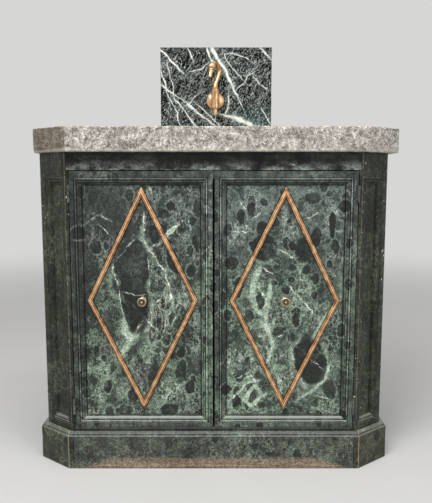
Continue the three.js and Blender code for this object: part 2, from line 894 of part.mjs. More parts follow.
function makeCabinet() {
  const cabinet = new THREE.Group();
  cabinet.position.set(-stoneShift, -middleY, 0);
  add(cabinet, 'frieze_rail', friezeSolid(0), paintedWood());
  const bearerHalf = postInner - jointGap;
  const bearer = box([-bearerHalf, 0, 0], [bearerHalf, bearerThick, plinthHeight]);
  add(cabinet, 'front_bearer', bearer, bareWood());
  add(cabinet, 'side_left', makeSide(-1), paintedWood());
  add(cabinet, 'side_right', makeSide(1), paintedWood());
  add(cabinet, 'back_panel', makeBack(), bareWood());
  add(cabinet, 'floor_board', makeFloor(), bareWood());
  cabinet.add(makeCant(-1));
  cabinet.add(makeCant(1));
  makePlinth(cabinet);
  makeCaps(cabinet);
  addHinges(cabinet, -1, 1, 'post');
  addHinges(cabinet, 1, 1, 'post');
  add(cabinet, 'catch_block', makeCatchBlock(), steel());
  for (const side of [-1, 1]) {
    const door = new THREE.Group();
    makeDoor(door, side);
    cabinet.add(door);
  }
  return cabinet;
}

// Stone top and backsplash

function roundedPlate(points, bottom, top, arris) {
  const settings = {
    depth: top - bottom - 2 * arris,
    bevelEnabled: true,
    bevelThickness: arris,
    bevelSize: arris,
    bevelOffset: -arris,
    bevelSegments: 2,
  };
  return new THREE.ExtrudeGeometry(outline(points), settings).translate(0, 0, bottom + arris);
}

function slabPlan() {
  const out = slabCantOverhang;
  const slope = Math.tan(cantAngle);
  const frontX = bodyFrontHalf + out * Math.sin(cantAngle)
    + (out * Math.cos(cantAngle) - slabFrontOverhang) / slope;
  const half = [
    [frontX, -slabFrontOverhang],
    [slabHalf, cantLineY(slabHalf, out)],
    [slabHalf, bodyDepth],
  ];
  return [...half, ...mirroredPlan(half, -1).reverse()];
}

function roundedRectangle(width, length, corner) {
  const shape = new THREE.Shape();
  const [x, y] = [width / 2, length / 2];
  shape.moveTo(-x + corner, -y);
  shape.lineTo(x - corner, -y);
  shape.absarc(x - corner, -y + corner, corner, -Math.PI / 2, 0, false);
  shape.lineTo(x, y - corner);
  shape.absarc(x - corner, y - corner, corner, 0, Math.PI / 2, false);
  shape.lineTo(-x + corner, y);
  shape.absarc(-x + corner, y - corner, corner, Math.PI / 2, Math.PI, false);
  shape.lineTo(-x, -y + corner);
  shape.absarc(-x + corner, -y + corner, corner, Math.PI, Math.PI * 1.5, false);
  return shape;
}

// The hollow of the basin, with its bottom edge rounded all the way round.
function basinHollow() {
  const settings = {
    depth: basinDepth + slabThick,
    bevelEnabled: true,
    bevelThickness: basinFillet,
    bevelSize: basinFillet,
    bevelSegments: 4,
    curveSegments: 7,
  };
  const inner = roundedRectangle(
    basinWidth - 2 * basinFillet,
    basinLength - 2 * basinFillet,
    basinCorner - basinFillet,
  );
  return new THREE.ExtrudeGeometry(inner, settings)
    .translate(0, basinMiddleY, basinFloor + basinFillet);
}

function makeSlab() {
  const slab = roundedPlate(slabPlan(), carcassHeight, slabTop, slabArris);
  const drain = rod(wasteStubRadius + jointGap, carcassHeight - 5, slabTop, 28)
    .translate(0, basinMiddleY, 0);
  return cut(slab, basinHollow(), drain);
}

function makeSplash() {
  const half = splashWidth / 2;
  const plan = [[-half, 0], [half, 0], [half, splashHeight], [-half, splashHeight]];
  const plate = roundedPlate(plan, 0, splashThick, splashArris)
    .rotateX(Math.PI / 2)
    .translate(0, bodyDepth, slabTop);
  const hole = rod(shankRadius + jointGap, -splashThick, splashThick * 2, 24)
    .rotateX(-Math.PI / 2)
    .translate(tapShift, splashFront, tapAxisZ);
  return cut(plate, hole);
}

// Tap: drawn with its barrel's axis on Z and the middle of the barrel at the origin.
// The shank goes back along +Y.

const barrelBottom = -barrelHeight / 2;
const barrelUpper = barrelHeight / 2;

function makeTapBody() {
  const barrel = turned([
    [0, barrelBottom],
    [barrelFoot - 0.8, barrelBottom],
    [barrelFoot, barrelBottom + 0.8],
    [barrelFoot, barrelBottom + 4],
    [barrelFoot - 0.5, barrelBottom + 5],
    [barrelTop - 0.6, barrelUpper - 9],
    [barrelTop, barrelUpper - 8],
    [barrelTop, barrelUpper - 6.4],
    [barrelTop - 0.8, barrelUpper - 5.6],
    [barrelCrown, barrelUpper - 5],
    [barrelCrown, barrelUpper],
    [0, barrelUpper],
  ], 24);
  const backEnd = tapReach + splashThick + shankBehind;
  const shank = turned([
    [0, 0],
    [shankRadius - 2.5, 0],
    [shankRadius - 2.5, tapReach - rosetteThick - 8],
    [shankRadius, tapReach - rosetteThick - 6],
    [shankRadius, backEnd],
    [shankBore, backEnd],
    [shankBore, backEnd - shankBoreDeep],
    [0, backEnd - shankBoreDeep],
  ], 24).rotateX(-Math.PI / 2);
  const taper = turned([
    [0, barrelBottom - 1],
    [plugFoot + runningGap, barrelBottom - 1],
    [plugFoot + runningGap, barrelBottom],
    [plugTop + runningGap, barrelUpper],
    [plugTop + runningGap, barrelUpper + 1],
    [0, barrelUpper + 1],
  ], 24);
  return cut(join(barrel, shank), taper);
}

function makeRosette() {
  const bore = shankRadius + jointGap;
  const profile = [
    [bore, 0],
    [rosetteRadius, 0],
    [rosetteRadius, 1.4],
    [rosetteRadius - 1.4, 2.4],
    [rosetteRadius - 3, 2.6],
    [rosetteRadius - 6, 5],
    [bore + 4.5, rosetteThick],
    [bore, rosetteThick],
    [bore, 0],
  ];
  return turned(profile, 32).rotateX(Math.PI / 2).translate(0, tapReach - jointGap, 0);
}

function hexNut(radius, bore, thick) {
  const plan = [];
  for (let i = 0; i < 6; i += 1) {
    plan.push([radius * Math.cos((Math.PI / 3) * i), radius * Math.sin((Math.PI / 3) * i)]);
  }
  return cut(prism(plan, 0, thick), rod(bore, -1, thick + 1, 24));
}

function makeBacknut() {
  return hexNut(backnutRadius, shankRadius + jointGap, backnutThick)
    .rotateX(-Math.PI / 2)
    .translate(0, tapReach + splashThick + jointGap, 0);
}

function makeCollar() {
  const bore = neckBase + jointGap;
  const bottom = barrelUpper + jointGap;
  const top = bottom + collarHeight;
  return turned([
    [bore, bottom],
    [collarRadius, bottom],
    [collarRadius, bottom + 1.6],
    [collarRadius - 0.8, bottom + 2.6],
    [collarRadius - 0.2, bottom + 4],
    [collarRadius - 0.8, top - 1],
    [bore + 0.8, top],
    [bore, top],
    [bore, bottom],
  ], 24);
}

// The middle line of the spout: up, back over the barrel, then round to the front.
function spoutCurve() {
  const foot = barrelUpper + collarHeight + jointGap;
  return new THREE.CatmullRomCurve3([
    [0, barrelUpper - 1],
    [0, foot + 3],
    [-neckBackBend * 0.32, foot + neckRise * 0.22],
    [-neckBackBend * 0.78, foot + neckRise * 0.47],
    [-neckBackBend, foot + neckRise * 0.66],
    [-neckBackBend * 0.7, foot + neckRise * 0.825],
    [-neckBackBend * 0.1, foot + neckRise * 0.9],
    [neckReach * 0.5, foot + neckRise * 0.87],
    [neckReach * 0.9, foot + neckRise * 0.79],
  ].map(([reach, height]) => new THREE.Vector3(0, -reach, height)));
}

// The neck narrows above its foot and swells again towards the head.
function neckRadius(share) {
  const atFoot = Math.max(0, 1 - share * 5);
  const atHead = Math.max(0, (share - 0.55) / 0.45);
  return neckMiddle + (neckBase - neckMiddle) * atFoot + (neckHead - neckMiddle) * atHead;
}

function sweptNeck() {
  const steps = 22;
  const sides = 16;
  const curve = spoutCurve();
  const rings = [];
  for (let i = 0; i <= steps; i += 1) {
    const share = i / steps;
    const middle = curve.getPointAt(share);
    const tangent = curve.getTangentAt(share);
    const sideways = new THREE.Vector3(1, 0, 0);
    const lift = new THREE.Vector3().crossVectors(tangent, sideways).normalize();
    const radius = neckRadius(share);
    const ring = [];
    for (let side = 0; side < sides; side += 1) {
      const turn = (2 * Math.PI * side) / sides;
      ring.push(middle.clone()
        .addScaledVector(sideways, radius * Math.cos(turn))
        .addScaledVector(lift, radius * Math.sin(turn)));
    }
    rings.push(ring);
  }
  return skinned(rings);
}

// Plug, neck, head and beak are one casting that turns in the barrel.
function makeSpout() {
  const foot = barrelUpper + collarHeight + jointGap;
  const tailFoot = barrelBottom - tailNutHeight - tailProud;
  const plug = turned([
    [0, tailFoot],
    [tailRadius, tailFoot],
    [tailRadius, barrelBottom - jointGap],
    [plugFoot, barrelBottom],
    [plugTop, barrelUpper],
    [neckBase, barrelUpper],
    [neckBase, foot + 2],
    [0, foot + 2],
  ], 28);
  const headZ = foot + neckRise * 0.776;
  const head = new THREE.SphereGeometry(headRadius, 20, 12)
    .scale(1, 1.16, 0.98)
    .translate(0, -neckReach, headZ);
  const beak = turned([
    [0, -beakLength],
    [beakTip, -beakLength],
    [beakTip + 0.4, -beakLength + 1],
    [beakTop - 0.6, -headRadius - 2.4],
    [beakTop + 0.8, -headRadius - 1.4],
    [beakTop + 0.8, -headRadius + 1.6],
    [beakTop - 1, -headRadius + 2.4],
    [beakTop - 1, 0],
    [0, 0],
  ], 18)
    .rotateX(-beakLean)
    .translate(0, -neckReach, headZ);
  const outlet = rod(outletRadius, -beakLength - 2, -beakLength + outletDeep, 12)
    .rotateX(-beakLean)
    .translate(0, -neckReach, headZ);
  return cut(join(plug, sweptNeck(), head, beak), outlet);
}

function makeTailNut() {
  const top = barrelBottom - jointGap;
  const bottom = top - tailNutHeight;
  const bore = tailRadius + jointGap;
  return turned([
    [bore, bottom],
    [tailNutRadius - 1.4, bottom],
    [tailNutRadius, bottom + 1.4],
    [tailNutRadius, top - 4],
    [tailNutRadius - 0.8, top - 3],
    [tailNutRadius + 0.6, top - 2],
    [tailNutRadius + 0.6, top],
    [bore, top],
    [bore, bottom],
  ], 20);
}

function makeTap() {
  const tap = new THREE.Group();
  tap.position.set(tapShift, tapAxisY, tapAxisZ);
  add(tap, 'tap_body', makeTapBody(), brass());
  add(tap, 'tap_rosette', makeRosette(), brass());
  add(tap, 'tap_backnut', makeBacknut(), brass());
  add(tap, 'tap_collar', makeCollar(), brass());
  const spout = new THREE.Group();
  spout.rotation.z = -THREE.MathUtils.degToRad(spoutTurn);
  add(spout, 'tap_spout', makeSpout(), brass());
  add(spout, 'tap_tail_nut', makeTailNut(), brass());
  tap.add(spout);
  return tap;
}

// Waste: a flanged strainer through the slab, a tailpiece and a trap that leaves at the back

function makeStrainer() {
  const bore = wastePipeRadius + wasteFit;
  const bottom = carcassHeight - wasteStubBelow;
  const seat = basinFloor + jointGap;
  let strainer = turned([
    [0, seat - 1],
    [bore, seat - 1],
    [bore, bottom],
    [wasteStubRadius, bottom],
    [wasteStubRadius, seat],
    [strainerRadius, seat],
    [strainerRadius, seat + 1],
    [strainerRadius - 3, seat + strainerThick],
    [bore, seat + strainerThick - 1],
    [0, seat + strainerThick - 1],
  ], 28);
  for (let i = 0; i < strainerHoleCount; i += 1) {
    const turn = (2 * Math.PI * i) / strainerHoleCount;
    const hole = rod(strainerHole, seat - 5, seat + 10, 12)
      .translate(strainerHoleCircle * Math.cos(turn), strainerHoleCircle * Math.sin(turn), 0);
    strainer = cut(strainer, hole);
  }
  return strainer;
}

function bentPipe(points, outer, inner, steps, sides) {
  const path = new THREE.CurvePath();
  for (const piece of points) path.add(piece);
  const ring = new THREE.Shape().absarc(0, 0, outer, 0, Math.PI * 2, false);
  ring.holes.push(new THREE.Path().absarc(0, 0, inner, 0, Math.PI * 2, true));
  const settings = { steps, curveSegments: sides / 2, bevelEnabled: false, extrudePath: path };
  return new THREE.ExtrudeGeometry(ring, settings);
}

// Quarter circle in the plane of Y and Z from one direction to the next.
class QuarterBend extends THREE.Curve {
  constructor(middle, radius, from, to) {
    super();
    Object.assign(this, { middle, radius, from, to });
  }

  getPoint(share, target = new THREE.Vector3()) {
    const turn = this.from + (this.to - this.from) * share;
    return target.set(
      0,
      this.middle[0] + this.radius * Math.cos(turn),
      this.middle[1] + this.radius * Math.sin(turn),
    );
  }
}

function makeTrap() {
  const low = wastePipeFoot - trapDip;
  const line = (from, to) => new THREE.LineCurve3(
    new THREE.Vector3(0, ...from),
    new THREE.Vector3(0, ...to),
  );
  const quarter = Math.PI / 2;
  const rise = 2 * trapBend;
  const path = [
    line([0, trapMouth], [0, low]),
    new QuarterBend([trapBend, low], trapBend, 2 * quarter, 3 * quarter),
    new QuarterBend([trapBend, low], trapBend, 3 * quarter, 4 * quarter),
    new QuarterBend([rise + trapBend, low], trapBend, 2 * quarter, quarter),
    line([rise + trapBend, outletLevel], [bodyDepth + trapBeyondBack - basinMiddleY, outletLevel]),
  ];
  return bentPipe(path, trapRadius, wastePipeRadius + wasteFit, 24, 16);
}

// The slip nut grips the trap's mouth and closes in over it onto the tailpiece.
function makeSlipNut() {
  const onTrap = trapRadius + jointGap;
  const onPipe = wastePipeRadius + jointGap;
  const lipBottom = trapMouth + jointGap;
  const top = trapMouth + 3;
  return turned([
    [onTrap, trapMouth - slipNutHeight],
    [slipNutRadius - 1.5, trapMouth - slipNutHeight],
    [slipNutRadius, trapMouth - slipNutHeight + 1.5],
    [slipNutRadius, top - 1.5],
    [slipNutRadius - 1.5, top],
    [onPipe, top],
    [onPipe, lipBottom],
    [onTrap, lipBottom],
    [onTrap, trapMouth - slipNutHeight],
  ], 20);
}

function makeWaste() {
  const waste = new THREE.Group();
  waste.position.set(0, basinMiddleY, 0);
  add(waste, 'waste_strainer', makeStrainer(), brass());
  const pipe = tube(wastePipeRadius, wastePipeRadius - wasteWall, wastePipeFoot, wasteTop, 20);
  add(waste, 'waste_pipe', pipe, brass());
  add(waste, 'waste_trap', makeTrap(), brass());
  const locknut = hexNut(locknutRadius, wasteStubRadius + jointGap, locknutThick)
    .translate(0, 0, carcassHeight - locknutThick - jointGap);
  add(waste, 'waste_locknut', locknut, brass());
  add(waste, 'waste_slip_nut', makeSlipNut(), brass());
  return waste;
}

function makeStone() {
  const stone = new THREE.Group();
  stone.position.set(0, -middleY, 0);
  add(stone, 'stone_top', makeSlab(), greyStone());
  add(stone, 'backsplash', makeSplash(), greenMarble());
  stone.add(makeTap());
  stone.add(makeWaste());
  return stone;
}

const washstand = new THREE.Group();
washstand.name = 'washstand';
washstand.add(makeCabinet());
washstand.add(makeStone());

export default washstand;
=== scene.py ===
"""Looks of a painted washstand with a stone top and a swan-neck tap. Metres, +Z up, front -Y."""

import math
import bpy
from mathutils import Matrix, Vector


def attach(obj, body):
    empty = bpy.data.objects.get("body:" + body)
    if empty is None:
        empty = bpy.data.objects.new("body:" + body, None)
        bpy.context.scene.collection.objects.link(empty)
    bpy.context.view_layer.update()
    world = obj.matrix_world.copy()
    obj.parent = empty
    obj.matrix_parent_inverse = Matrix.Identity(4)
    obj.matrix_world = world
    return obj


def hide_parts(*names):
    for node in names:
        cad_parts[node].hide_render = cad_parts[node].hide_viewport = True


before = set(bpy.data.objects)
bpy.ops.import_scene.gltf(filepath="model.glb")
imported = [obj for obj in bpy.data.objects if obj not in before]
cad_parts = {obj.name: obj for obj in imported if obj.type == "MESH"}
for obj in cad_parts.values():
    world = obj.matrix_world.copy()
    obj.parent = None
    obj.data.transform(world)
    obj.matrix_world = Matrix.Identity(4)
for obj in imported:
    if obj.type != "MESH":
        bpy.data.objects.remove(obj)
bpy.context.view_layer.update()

# Places on the washstand, in millimetres

MM = 0.001
BODY_MIDDLE = -6
BODY_HALF = 444
SIDE_THICKNESS = 10
CANT_TURN = math.radians(38)
CANT_PLANE = 403.8
CANT_THICKNESS = 15.5
FRONT_INSIDE = -205
SLAB_CANT_PLANE = 417.8
PLINTH_CANT_PLANE = 420
CANT_ARRISES = (-450, -373, 361, 438)
CHIPPED_UP_TO = -120
PLINTH_ARRISES = (-378.6, 366.6)
PLINTH_JOINTS = (-366, 354)
DOOR_OFFSET = 179.75
DOOR_BACK = -204.5
PANEL_BACK = -212
FLOOR_EDGE = -224
OPENING_MIDDLE = 430.75
OPENING_HALF = (147.75, 296.25)
KNOB_OFFSET = 179.8
LOZENGE_MIDDLE = 436
LOZENGE_HALF = (139.25, 287)
BAR_HALF = 5.5
ROSETTE_PLACE = (-2.7, 192, 985)
COLLAR_PLACE = (-2.7, 144.3, 0)


# Node language: each finish is wired with these few words


def linear(colour):
    """Blender's linear values of a colour as it is seen, (red, green, blue) from 0 to 255. Sockets,
    numbers and colours that are linear already, with their four values, stay as they are."""
    if not isinstance(colour, tuple) or len(colour) == 4:
        return colour
    shares = [value / 255 for value in colour]
    curve = [share / 12.92 if share <= 0.04045 else ((share + 0.055) / 1.055) ** 2.4 for share in shares]
    return (*curve, 1.0)


class Finish:
    """One material, with words for its nodes. Its colour is laid on in layers, one over another.
    Its place is in metres, as patterns use it, and its x, y and z are in millimetres."""

    def __init__(self, name):
        self.material = bpy.data.materials.new(name)
        self.material.use_nodes = True
        self.tree = self.material.node_tree
        self.tree.nodes.clear()
        self.output = self.tree.nodes.new("ShaderNodeOutputMaterial")
        self.shader = self.tree.nodes.new("ShaderNodeBsdfPrincipled")
        self.tree.links.new(self.shader.outputs["BSDF"], self.output.inputs["Surface"])
        self.place = self.node("ShaderNodeTexCoord").outputs["Object"]
        self.x, self.y, self.z = self.axes(self.vector("SCALE", self.place, scale=1 / MM))
        self.colour = None

    def wire(self, socket, value):
        """Links a socket to another node, or sets its own value."""
        if isinstance(value, bpy.types.NodeSocket):
            self.tree.links.new(value, socket)
        elif value is not None:
            socket.default_value = value

    def node(self, kind, inputs=(), **settings):
        made = self.tree.nodes.new(kind)
        for key, value in settings.items():
            setattr(made, key, value)
        for key, value in dict(inputs).items():
            self.wire(made.inputs[key], value)
        return made

    def lay(self, mask, colour, blend="MIX"):
        """Lays a colour over what is there, as far as the mask lets it."""
        self.colour = self.mix(mask, self.colour, colour, blend)

    def tint(self, amount):
        """Multiplies what is there by a colour or a number."""
        self.lay(1.0, amount, "MULTIPLY")

    def done(self, **sockets):
        """Sets or wires the shader's sockets, with underscores for the spaces in their names."""
        self.wire(self.shader.inputs["Base Color"], self.colour)
        for key, value in sockets.items():
            self.wire(self.shader.inputs[key.replace("_", " ")], value)
        return self.material

    def math(self, operation, a, b=None, c=None):
        return self.node("ShaderNodeMath", {0: a, 1: b, 2: c}, operation=operation).outputs[0]

    def product(self, first, *others):
        for other in others:
            first = self.math("MULTIPLY", first, other)
        return first

    def gap(self, value, place):
        """How far a value lies from a place, on either side of it."""
        return self.math("ABSOLUTE", self.math("SUBTRACT", value, place))

    def vector(self, operation, a, b=None, scale=None):
        made = self.node("ShaderNodeVectorMath", {0: a, 1: b, 3: scale}, operation=operation)
        return made.outputs["Value" if operation in ("LENGTH", "DOT_PRODUCT") else "Vector"]

    def axes(self, vector):
        return self.node("ShaderNodeSeparateXYZ", {0: vector}).outputs

    def noise(self, vector, scale, detail=3, roughness=0.5, distortion=0.0, output="Fac"):
        return self.node("ShaderNodeTexNoise", {
            "Vector": vector, "Scale": scale, "Detail": detail,
            "Roughness": roughness, "Distortion": distortion,
        }).outputs[output]

    def cells(self, vector, scale, feature="F1"):
        return self.node("ShaderNodeTexVoronoi", {"Vector": vector, "Scale": scale}, feature=feature)

    def ramp(self, factor, *stops):
        made = self.node("ShaderNodeValToRGB", {0: factor})
        elements = made.color_ramp.elements
        while len(elements) < len(stops):
            elements.new(0.5)
        for element, (position, colour) in zip(elements, stops):
            element.position = position
            element.color = linear(colour)
        return made.outputs["Color"]

    def mix(self, factor, a, b, blend="MIX"):
        sockets = {0: factor, 6: linear(a), 7: linear(b)}
        return self.node("ShaderNodeMix", sockets, data_type="RGBA", blend_type=blend).outputs[2]

    def cracks(self, vector, scale, detail, roughness, wide, strength=1.0, level=0.5):
        """Thin lines where a rough pattern crosses a level."""
        rough = self.noise(vector, scale, detail, roughness)
        return self.span(self.gap(rough, level), wide, 0.0, 0, strength)

    def span(self, value, low, high, start=0.0, end=1.0, smooth=True):
        """Maps low to high onto start to end, and stops there."""
        return self.node("ShaderNodeMapRange", {
            "Value": value, "From Min": low, "From Max": high, "To Min": start, "To Max": end,
        }, interpolation_type="SMOOTHSTEP" if smooth else "LINEAR").outputs["Result"]

    def stretch(self, vector, scale, lean=0):
        """Scales a pattern, and leans it on the front by some degrees."""
        turn = (0, math.radians(lean), 0)
        return self.node("ShaderNodeMapping", {
            "Vector": vector, "Rotation": turn, "Scale": scale,
        }).outputs["Vector"]

    def warp(self, vector, *layers):
        """Moves the points of a pattern about, each layer a (scale, reach in metres)."""
        for scale, reach in layers:
            push = self.noise(self.place, scale, 2, output="Color")
            push = self.vector("SUBTRACT", push, (0.5, 0.5, 0.5))
            vector = self.vector("ADD", vector, self.vector("SCALE", push, scale=2 * reach))
        return vector

    def ovals(self, vector, shapes):
        """Nearest of many ovals on the front, each (x, z, half width, half height), in millimetres,
        and a turn in degrees: 0 at an oval's middle, 1 on its edge. Mapping nodes in their place
        would fill the renderer's store for one material, which then turns black."""
        vector = self.vector("SCALE", vector, scale=1 / MM)
        nearest = None
        for x, z, wide, high, *turn in shapes:
            turn = turn[0] if turn else 0
            sine, cosine = math.sin(math.radians(turn)), math.cos(math.radians(turn))
            away = self.vector("SUBTRACT", vector, (x, 0, z))
            across = self.vector("DOT_PRODUCT", away, (cosine / wide, 0, -sine / wide))
            along = self.vector("DOT_PRODUCT", away, (sine / high, 0, cosine / high))
            square = self.math("MULTIPLY_ADD", along, along, self.product(across, across))
            nearest = square if nearest is None else self.math("MINIMUM", nearest, square)
        return self.math("SQRT", nearest)

    def bump(self, height, distance, strength=1.0):
        return self.node("ShaderNodeBump", {
            "Height": height, "Distance": distance, "Strength": strength,
        }).outputs["Normal"]


def strokes(*lines):
    """Painted veins as thin ovals. A line is (width, (x, z), (x, z), ...) in millimetres."""
    overlap = 0.62
    shapes = []
    for width, *points in lines:
        for (x0, z0), (x1, z1) in zip(points, points[1:]):
            length = math.hypot(x1 - x0, z1 - z0)
            turn = math.degrees(math.atan2(x1 - x0, z1 - z0))
            shapes.append(((x0 + x1) / 2, (z0 + z1) / 2, width, length * overlap, turn))
    return shapes


# Where on the object a point lies


def behind_cants(finish, middle, plane):
    """How deep a point lies behind the planes of the two cants, in millimetres."""
    outward = finish.product(finish.gap(finish.x, middle), math.sin(CANT_TURN))
    forward = finish.product(finish.y, -math.cos(CANT_TURN))
    return finish.math("SUBTRACT", plane, finish.math("ADD", outward, forward))


def inside_body(finish):
    """1 on faces that look into the cupboard, 0 on the painted outside."""
    from_side = finish.math("SUBTRACT", BODY_HALF, finish.gap(finish.x, BODY_MIDDLE))
    from_cant = behind_cants(finish, BODY_MIDDLE, CANT_PLANE)
    return finish.product(
        finish.math("GREATER_THAN", from_cant, CANT_THICKNESS),
        finish.math("GREATER_THAN", from_side, SIDE_THICKNESS),
        finish.math("GREATER_THAN", finish.y, FRONT_INSIDE),
    )


def behind(depth):
    """Makes a mask that is 1 behind the given place in millimetres, as on the back of a door."""
    return lambda finish: finish.math("GREATER_THAN", finish.y, depth)


def beside_door_middle(finish):
    """How far a point lies from the upright middle line of its door, in millimetres."""
    return finish.gap(finish.gap(finish.x, BODY_MIDDLE), DOOR_OFFSET)


def lozenge_distance(finish):
    """How far a point of a door lies outside the outer edge of its lozenge, in millimetres."""
    half_x, half_z = LOZENGE_HALF
    length = math.hypot(half_x, half_z)
    across = finish.product(beside_door_middle(finish), half_z / length)
    along = finish.product(finish.gap(finish.z, LOZENGE_MIDDLE), half_x / length)
    return finish.math("SUBTRACT", finish.math("ADD", across, along), half_x * half_z / length)


def nearest_line(finish, places, ragged):
    """How far a point lies from the nearest of some upright ragged lines, in millimetres."""
    nearest = None
    for place in places:
        away = finish.gap(finish.x, place)
        nearest = away if nearest is None else finish.math("MINIMUM", nearest, away)
    return finish.math("ADD", nearest, ragged)


# Painted marble: doors, canted frames, frieze and plinth


DARK_BLOT = (38, 42, 40)
PALE_GREEN = (144, 166, 144)
PALE_GREY = (124, 137, 130)
PALE_VEIN = (230, 235, 222)
PALE_STREAM = (196, 216, 194)


class PaintedMarble(Finish):
    """Paint that imitates green marble. Its layers share a few warped patterns."""

    def __init__(self, name, ground, net, lean, grit):
        super().__init__(name)
        self.net = net
        self.grit = grit
        self.broad = self.warp(self.place, (6, 0.02), (28, 0.006))
        self.close = self.warp(self.place, (20, 0.006), (62, 0.005), (160, 0.0032))
        self.ragged = self.warp(self.close, (340, 0.0018))
        self.flow = self.stretch(self.close, (1, 1, 0.5), lean)
        self.veil = self.span(self.noise(self.flow, 44, 7, 0.78), 0.46, 0.6)
        self.pale = self.mix(self.span(self.z, 430, 660), PALE_GREEN, PALE_GREY)
        dark, middle, light = ground
        waves = self.noise(self.flow, 34, 8, 0.78)
        self.colour = self.ramp(waves, (0.37, dark), (0.5, middle), (0.63, light))
        self.lay(self.span(self.noise(self.broad, 7, 4, 0.55), 0.42, 0.62, 0.6, 0.0), dark)

    def add_clouds(self, cloud, clouds):
        """A pale haze, then foam and a web of fine veins, all of them densest in the clouds."""
        cloudy = self.product(self.span(self.noise(self.broad, 10, 5, 0.6), 0.42, 0.64), cloud)
        if clouds:
            near = self.span(self.ovals(self.close, clouds), 1.25, 0.5)
            cloudy = self.math("MAXIMUM", self.product(cloudy, 0.6), near)
        self.lay(self.product(self.veil, cloudy, 0.28), self.pale)
        edges = self.cells(self.ragged, 70, "DISTANCE_TO_EDGE").outputs["Distance"]
        fine = self.cells(self.ragged, 165, "DISTANCE_TO_EDGE").outputs["Distance"]
        foam = self.math("MAXIMUM", self.span(edges, 0.11, 0.04), self.span(fine, 0.17, 0.06, 0, 0.8))
        foamy = self.span(self.noise(self.broad, 30, 4, 0.6), 0.49, 0.55)
        coarse = self.cracks(self.flow, 26, 4, 0.62, 0.022)
        web = self.math("MAXIMUM", coarse, self.cracks(self.flow, 70, 4, 0.62, 0.035, 0.85))
        webbed = self.span(self.noise(self.broad, 21, 4, 0.6), 0.46, 0.56, 0.06, 1.0)
        strength = self.span(cloudy, 0, 0.9, 0.5 * self.net, 0.35 + 0.6 * self.net, smooth=False)
        self.lay(self.product(foam, foamy, strength), self.pale)
        self.lay(self.product(web, webbed, strength), self.mix(0.55, self.pale, PALE_VEIN))

    def add_pebbles(self, share):
        """Dark pebbles of two sizes with pale rims, and black dots between them."""
        squat = self.stretch(self.close, (1, 1, 0.72))
        for scale, part, strength in ((33, share, 0.85), (85, min(1, share * 1.5), 0.7)):
            pebbles = self.cells(squat, scale)
            chance, spread, _ = self.axes(pebbles.outputs["Color"])
            radius = self.span(spread, 0, 1, 0.16, 0.46, smooth=False)
            reach = self.math("DIVIDE", pebbles.outputs["Distance"], radius)
            here = self.product(self.math("GREATER_THAN", chance, 1 - part), strength)
            rim = self.product(self.span(reach, 1.3, 1.14), self.span(reach, 0.96, 1.06))
            self.lay(self.product(rim, here, self.net, 0.8), self.pale)
            self.lay(self.product(self.span(reach, 1.02, 0.86), here), DARK_BLOT)
        dots = self.cells(self.ragged, 230)
        here = self.math("GREATER_THAN", self.axes(dots.outputs["Color"])[0], 0.62)
        spot = self.span(dots.outputs["Distance"], 0.42, 0.26)
        self.lay(self.product(spot, here, 0.6 * self.grit), DARK_BLOT)

    def add_streams(self, streams):
        """Broad pale streams."""
        reach = self.ovals(self.close, strokes(*streams))
        uneven = self.span(self.veil, 0, 1, 0.5, 1.0)
        self.lay(self.product(self.span(reach, 1.6, 0.8), uneven), PALE_STREAM)

    def add_blots(self, blots, firm):
        """Dark blots, each inside a broken pale rim."""
        reach = self.ovals(self.ragged, blots)
        rim = self.product(self.span(reach, 1.35, 1.1), self.span(reach, 0.94, 1.06))
        broken = self.span(self.noise(self.close, 40, 5, 0.7), 0.44, 0.6, 0, 0.7)
        self.lay(self.product(rim, broken), self.pale)
        faint = self.span(self.noise(self.place, 16, 3, 0.6), 0.4, 0.6, firm, 0.97)
        self.lay(self.product(self.span(reach, 1.08, 0.84), faint), DARK_BLOT)

    def add_veins(self, veins):
        """Pale veins, smeared to the sides and broken along their way."""
        reach = self.ovals(self.ragged, strokes(*veins))
        uneven = self.span(self.veil, 0, 1, 0.05, 0.6)
        self.lay(self.product(self.span(reach, 3.6, 0.9), uneven), self.pale)
        broken = self.span(self.noise(self.place, 75, 4, 0.6), 0.4, 0.56, 0.12, 0.95)
        self.lay(self.product(self.span(reach, 1.0, 0.3), broken), PALE_VEIN)

    def add_grit(self):
        for scale, strength in ((150, 0.32), (310, 0.4)):
            reach = strength * self.grit
            mottle = self.noise(self.place, scale, 3, 0.85)
            self.tint(self.span(mottle, 0.38, 0.62, 1 - reach, 1 + reach, smooth=False))

    def add_dust_and_painted_light(self, dust_and_top_light):
        """Pale dust and painted light on what faces up, and painted shade on what faces down."""
        rise = self.axes(self.node("ShaderNodeNewGeometry").outputs["Normal"])[2]
        # Painted light with dust on up-facing faces, then painted shade on down-facing faces
        self.lay(self.span(rise, 0.1, 0.6, 0, dust_and_top_light), (170, 176, 168))
        self.lay(self.span(rise, -0.15, -0.8, 0, 0.75), (24, 27, 26))


def bare_colour(finish):
    """Unpainted wood, its grain upright."""
    grain = finish.stretch(finish.warp(finish.place, (8, 0.004)), (80, 80, 5))
    return finish.ramp(
        finish.noise(grain, 1.6, 6, 0.65, 0.6),
        (0.34, (104, 82, 58)), (0.5, (128, 102, 74)), (0.66, (152, 124, 92)),
    )


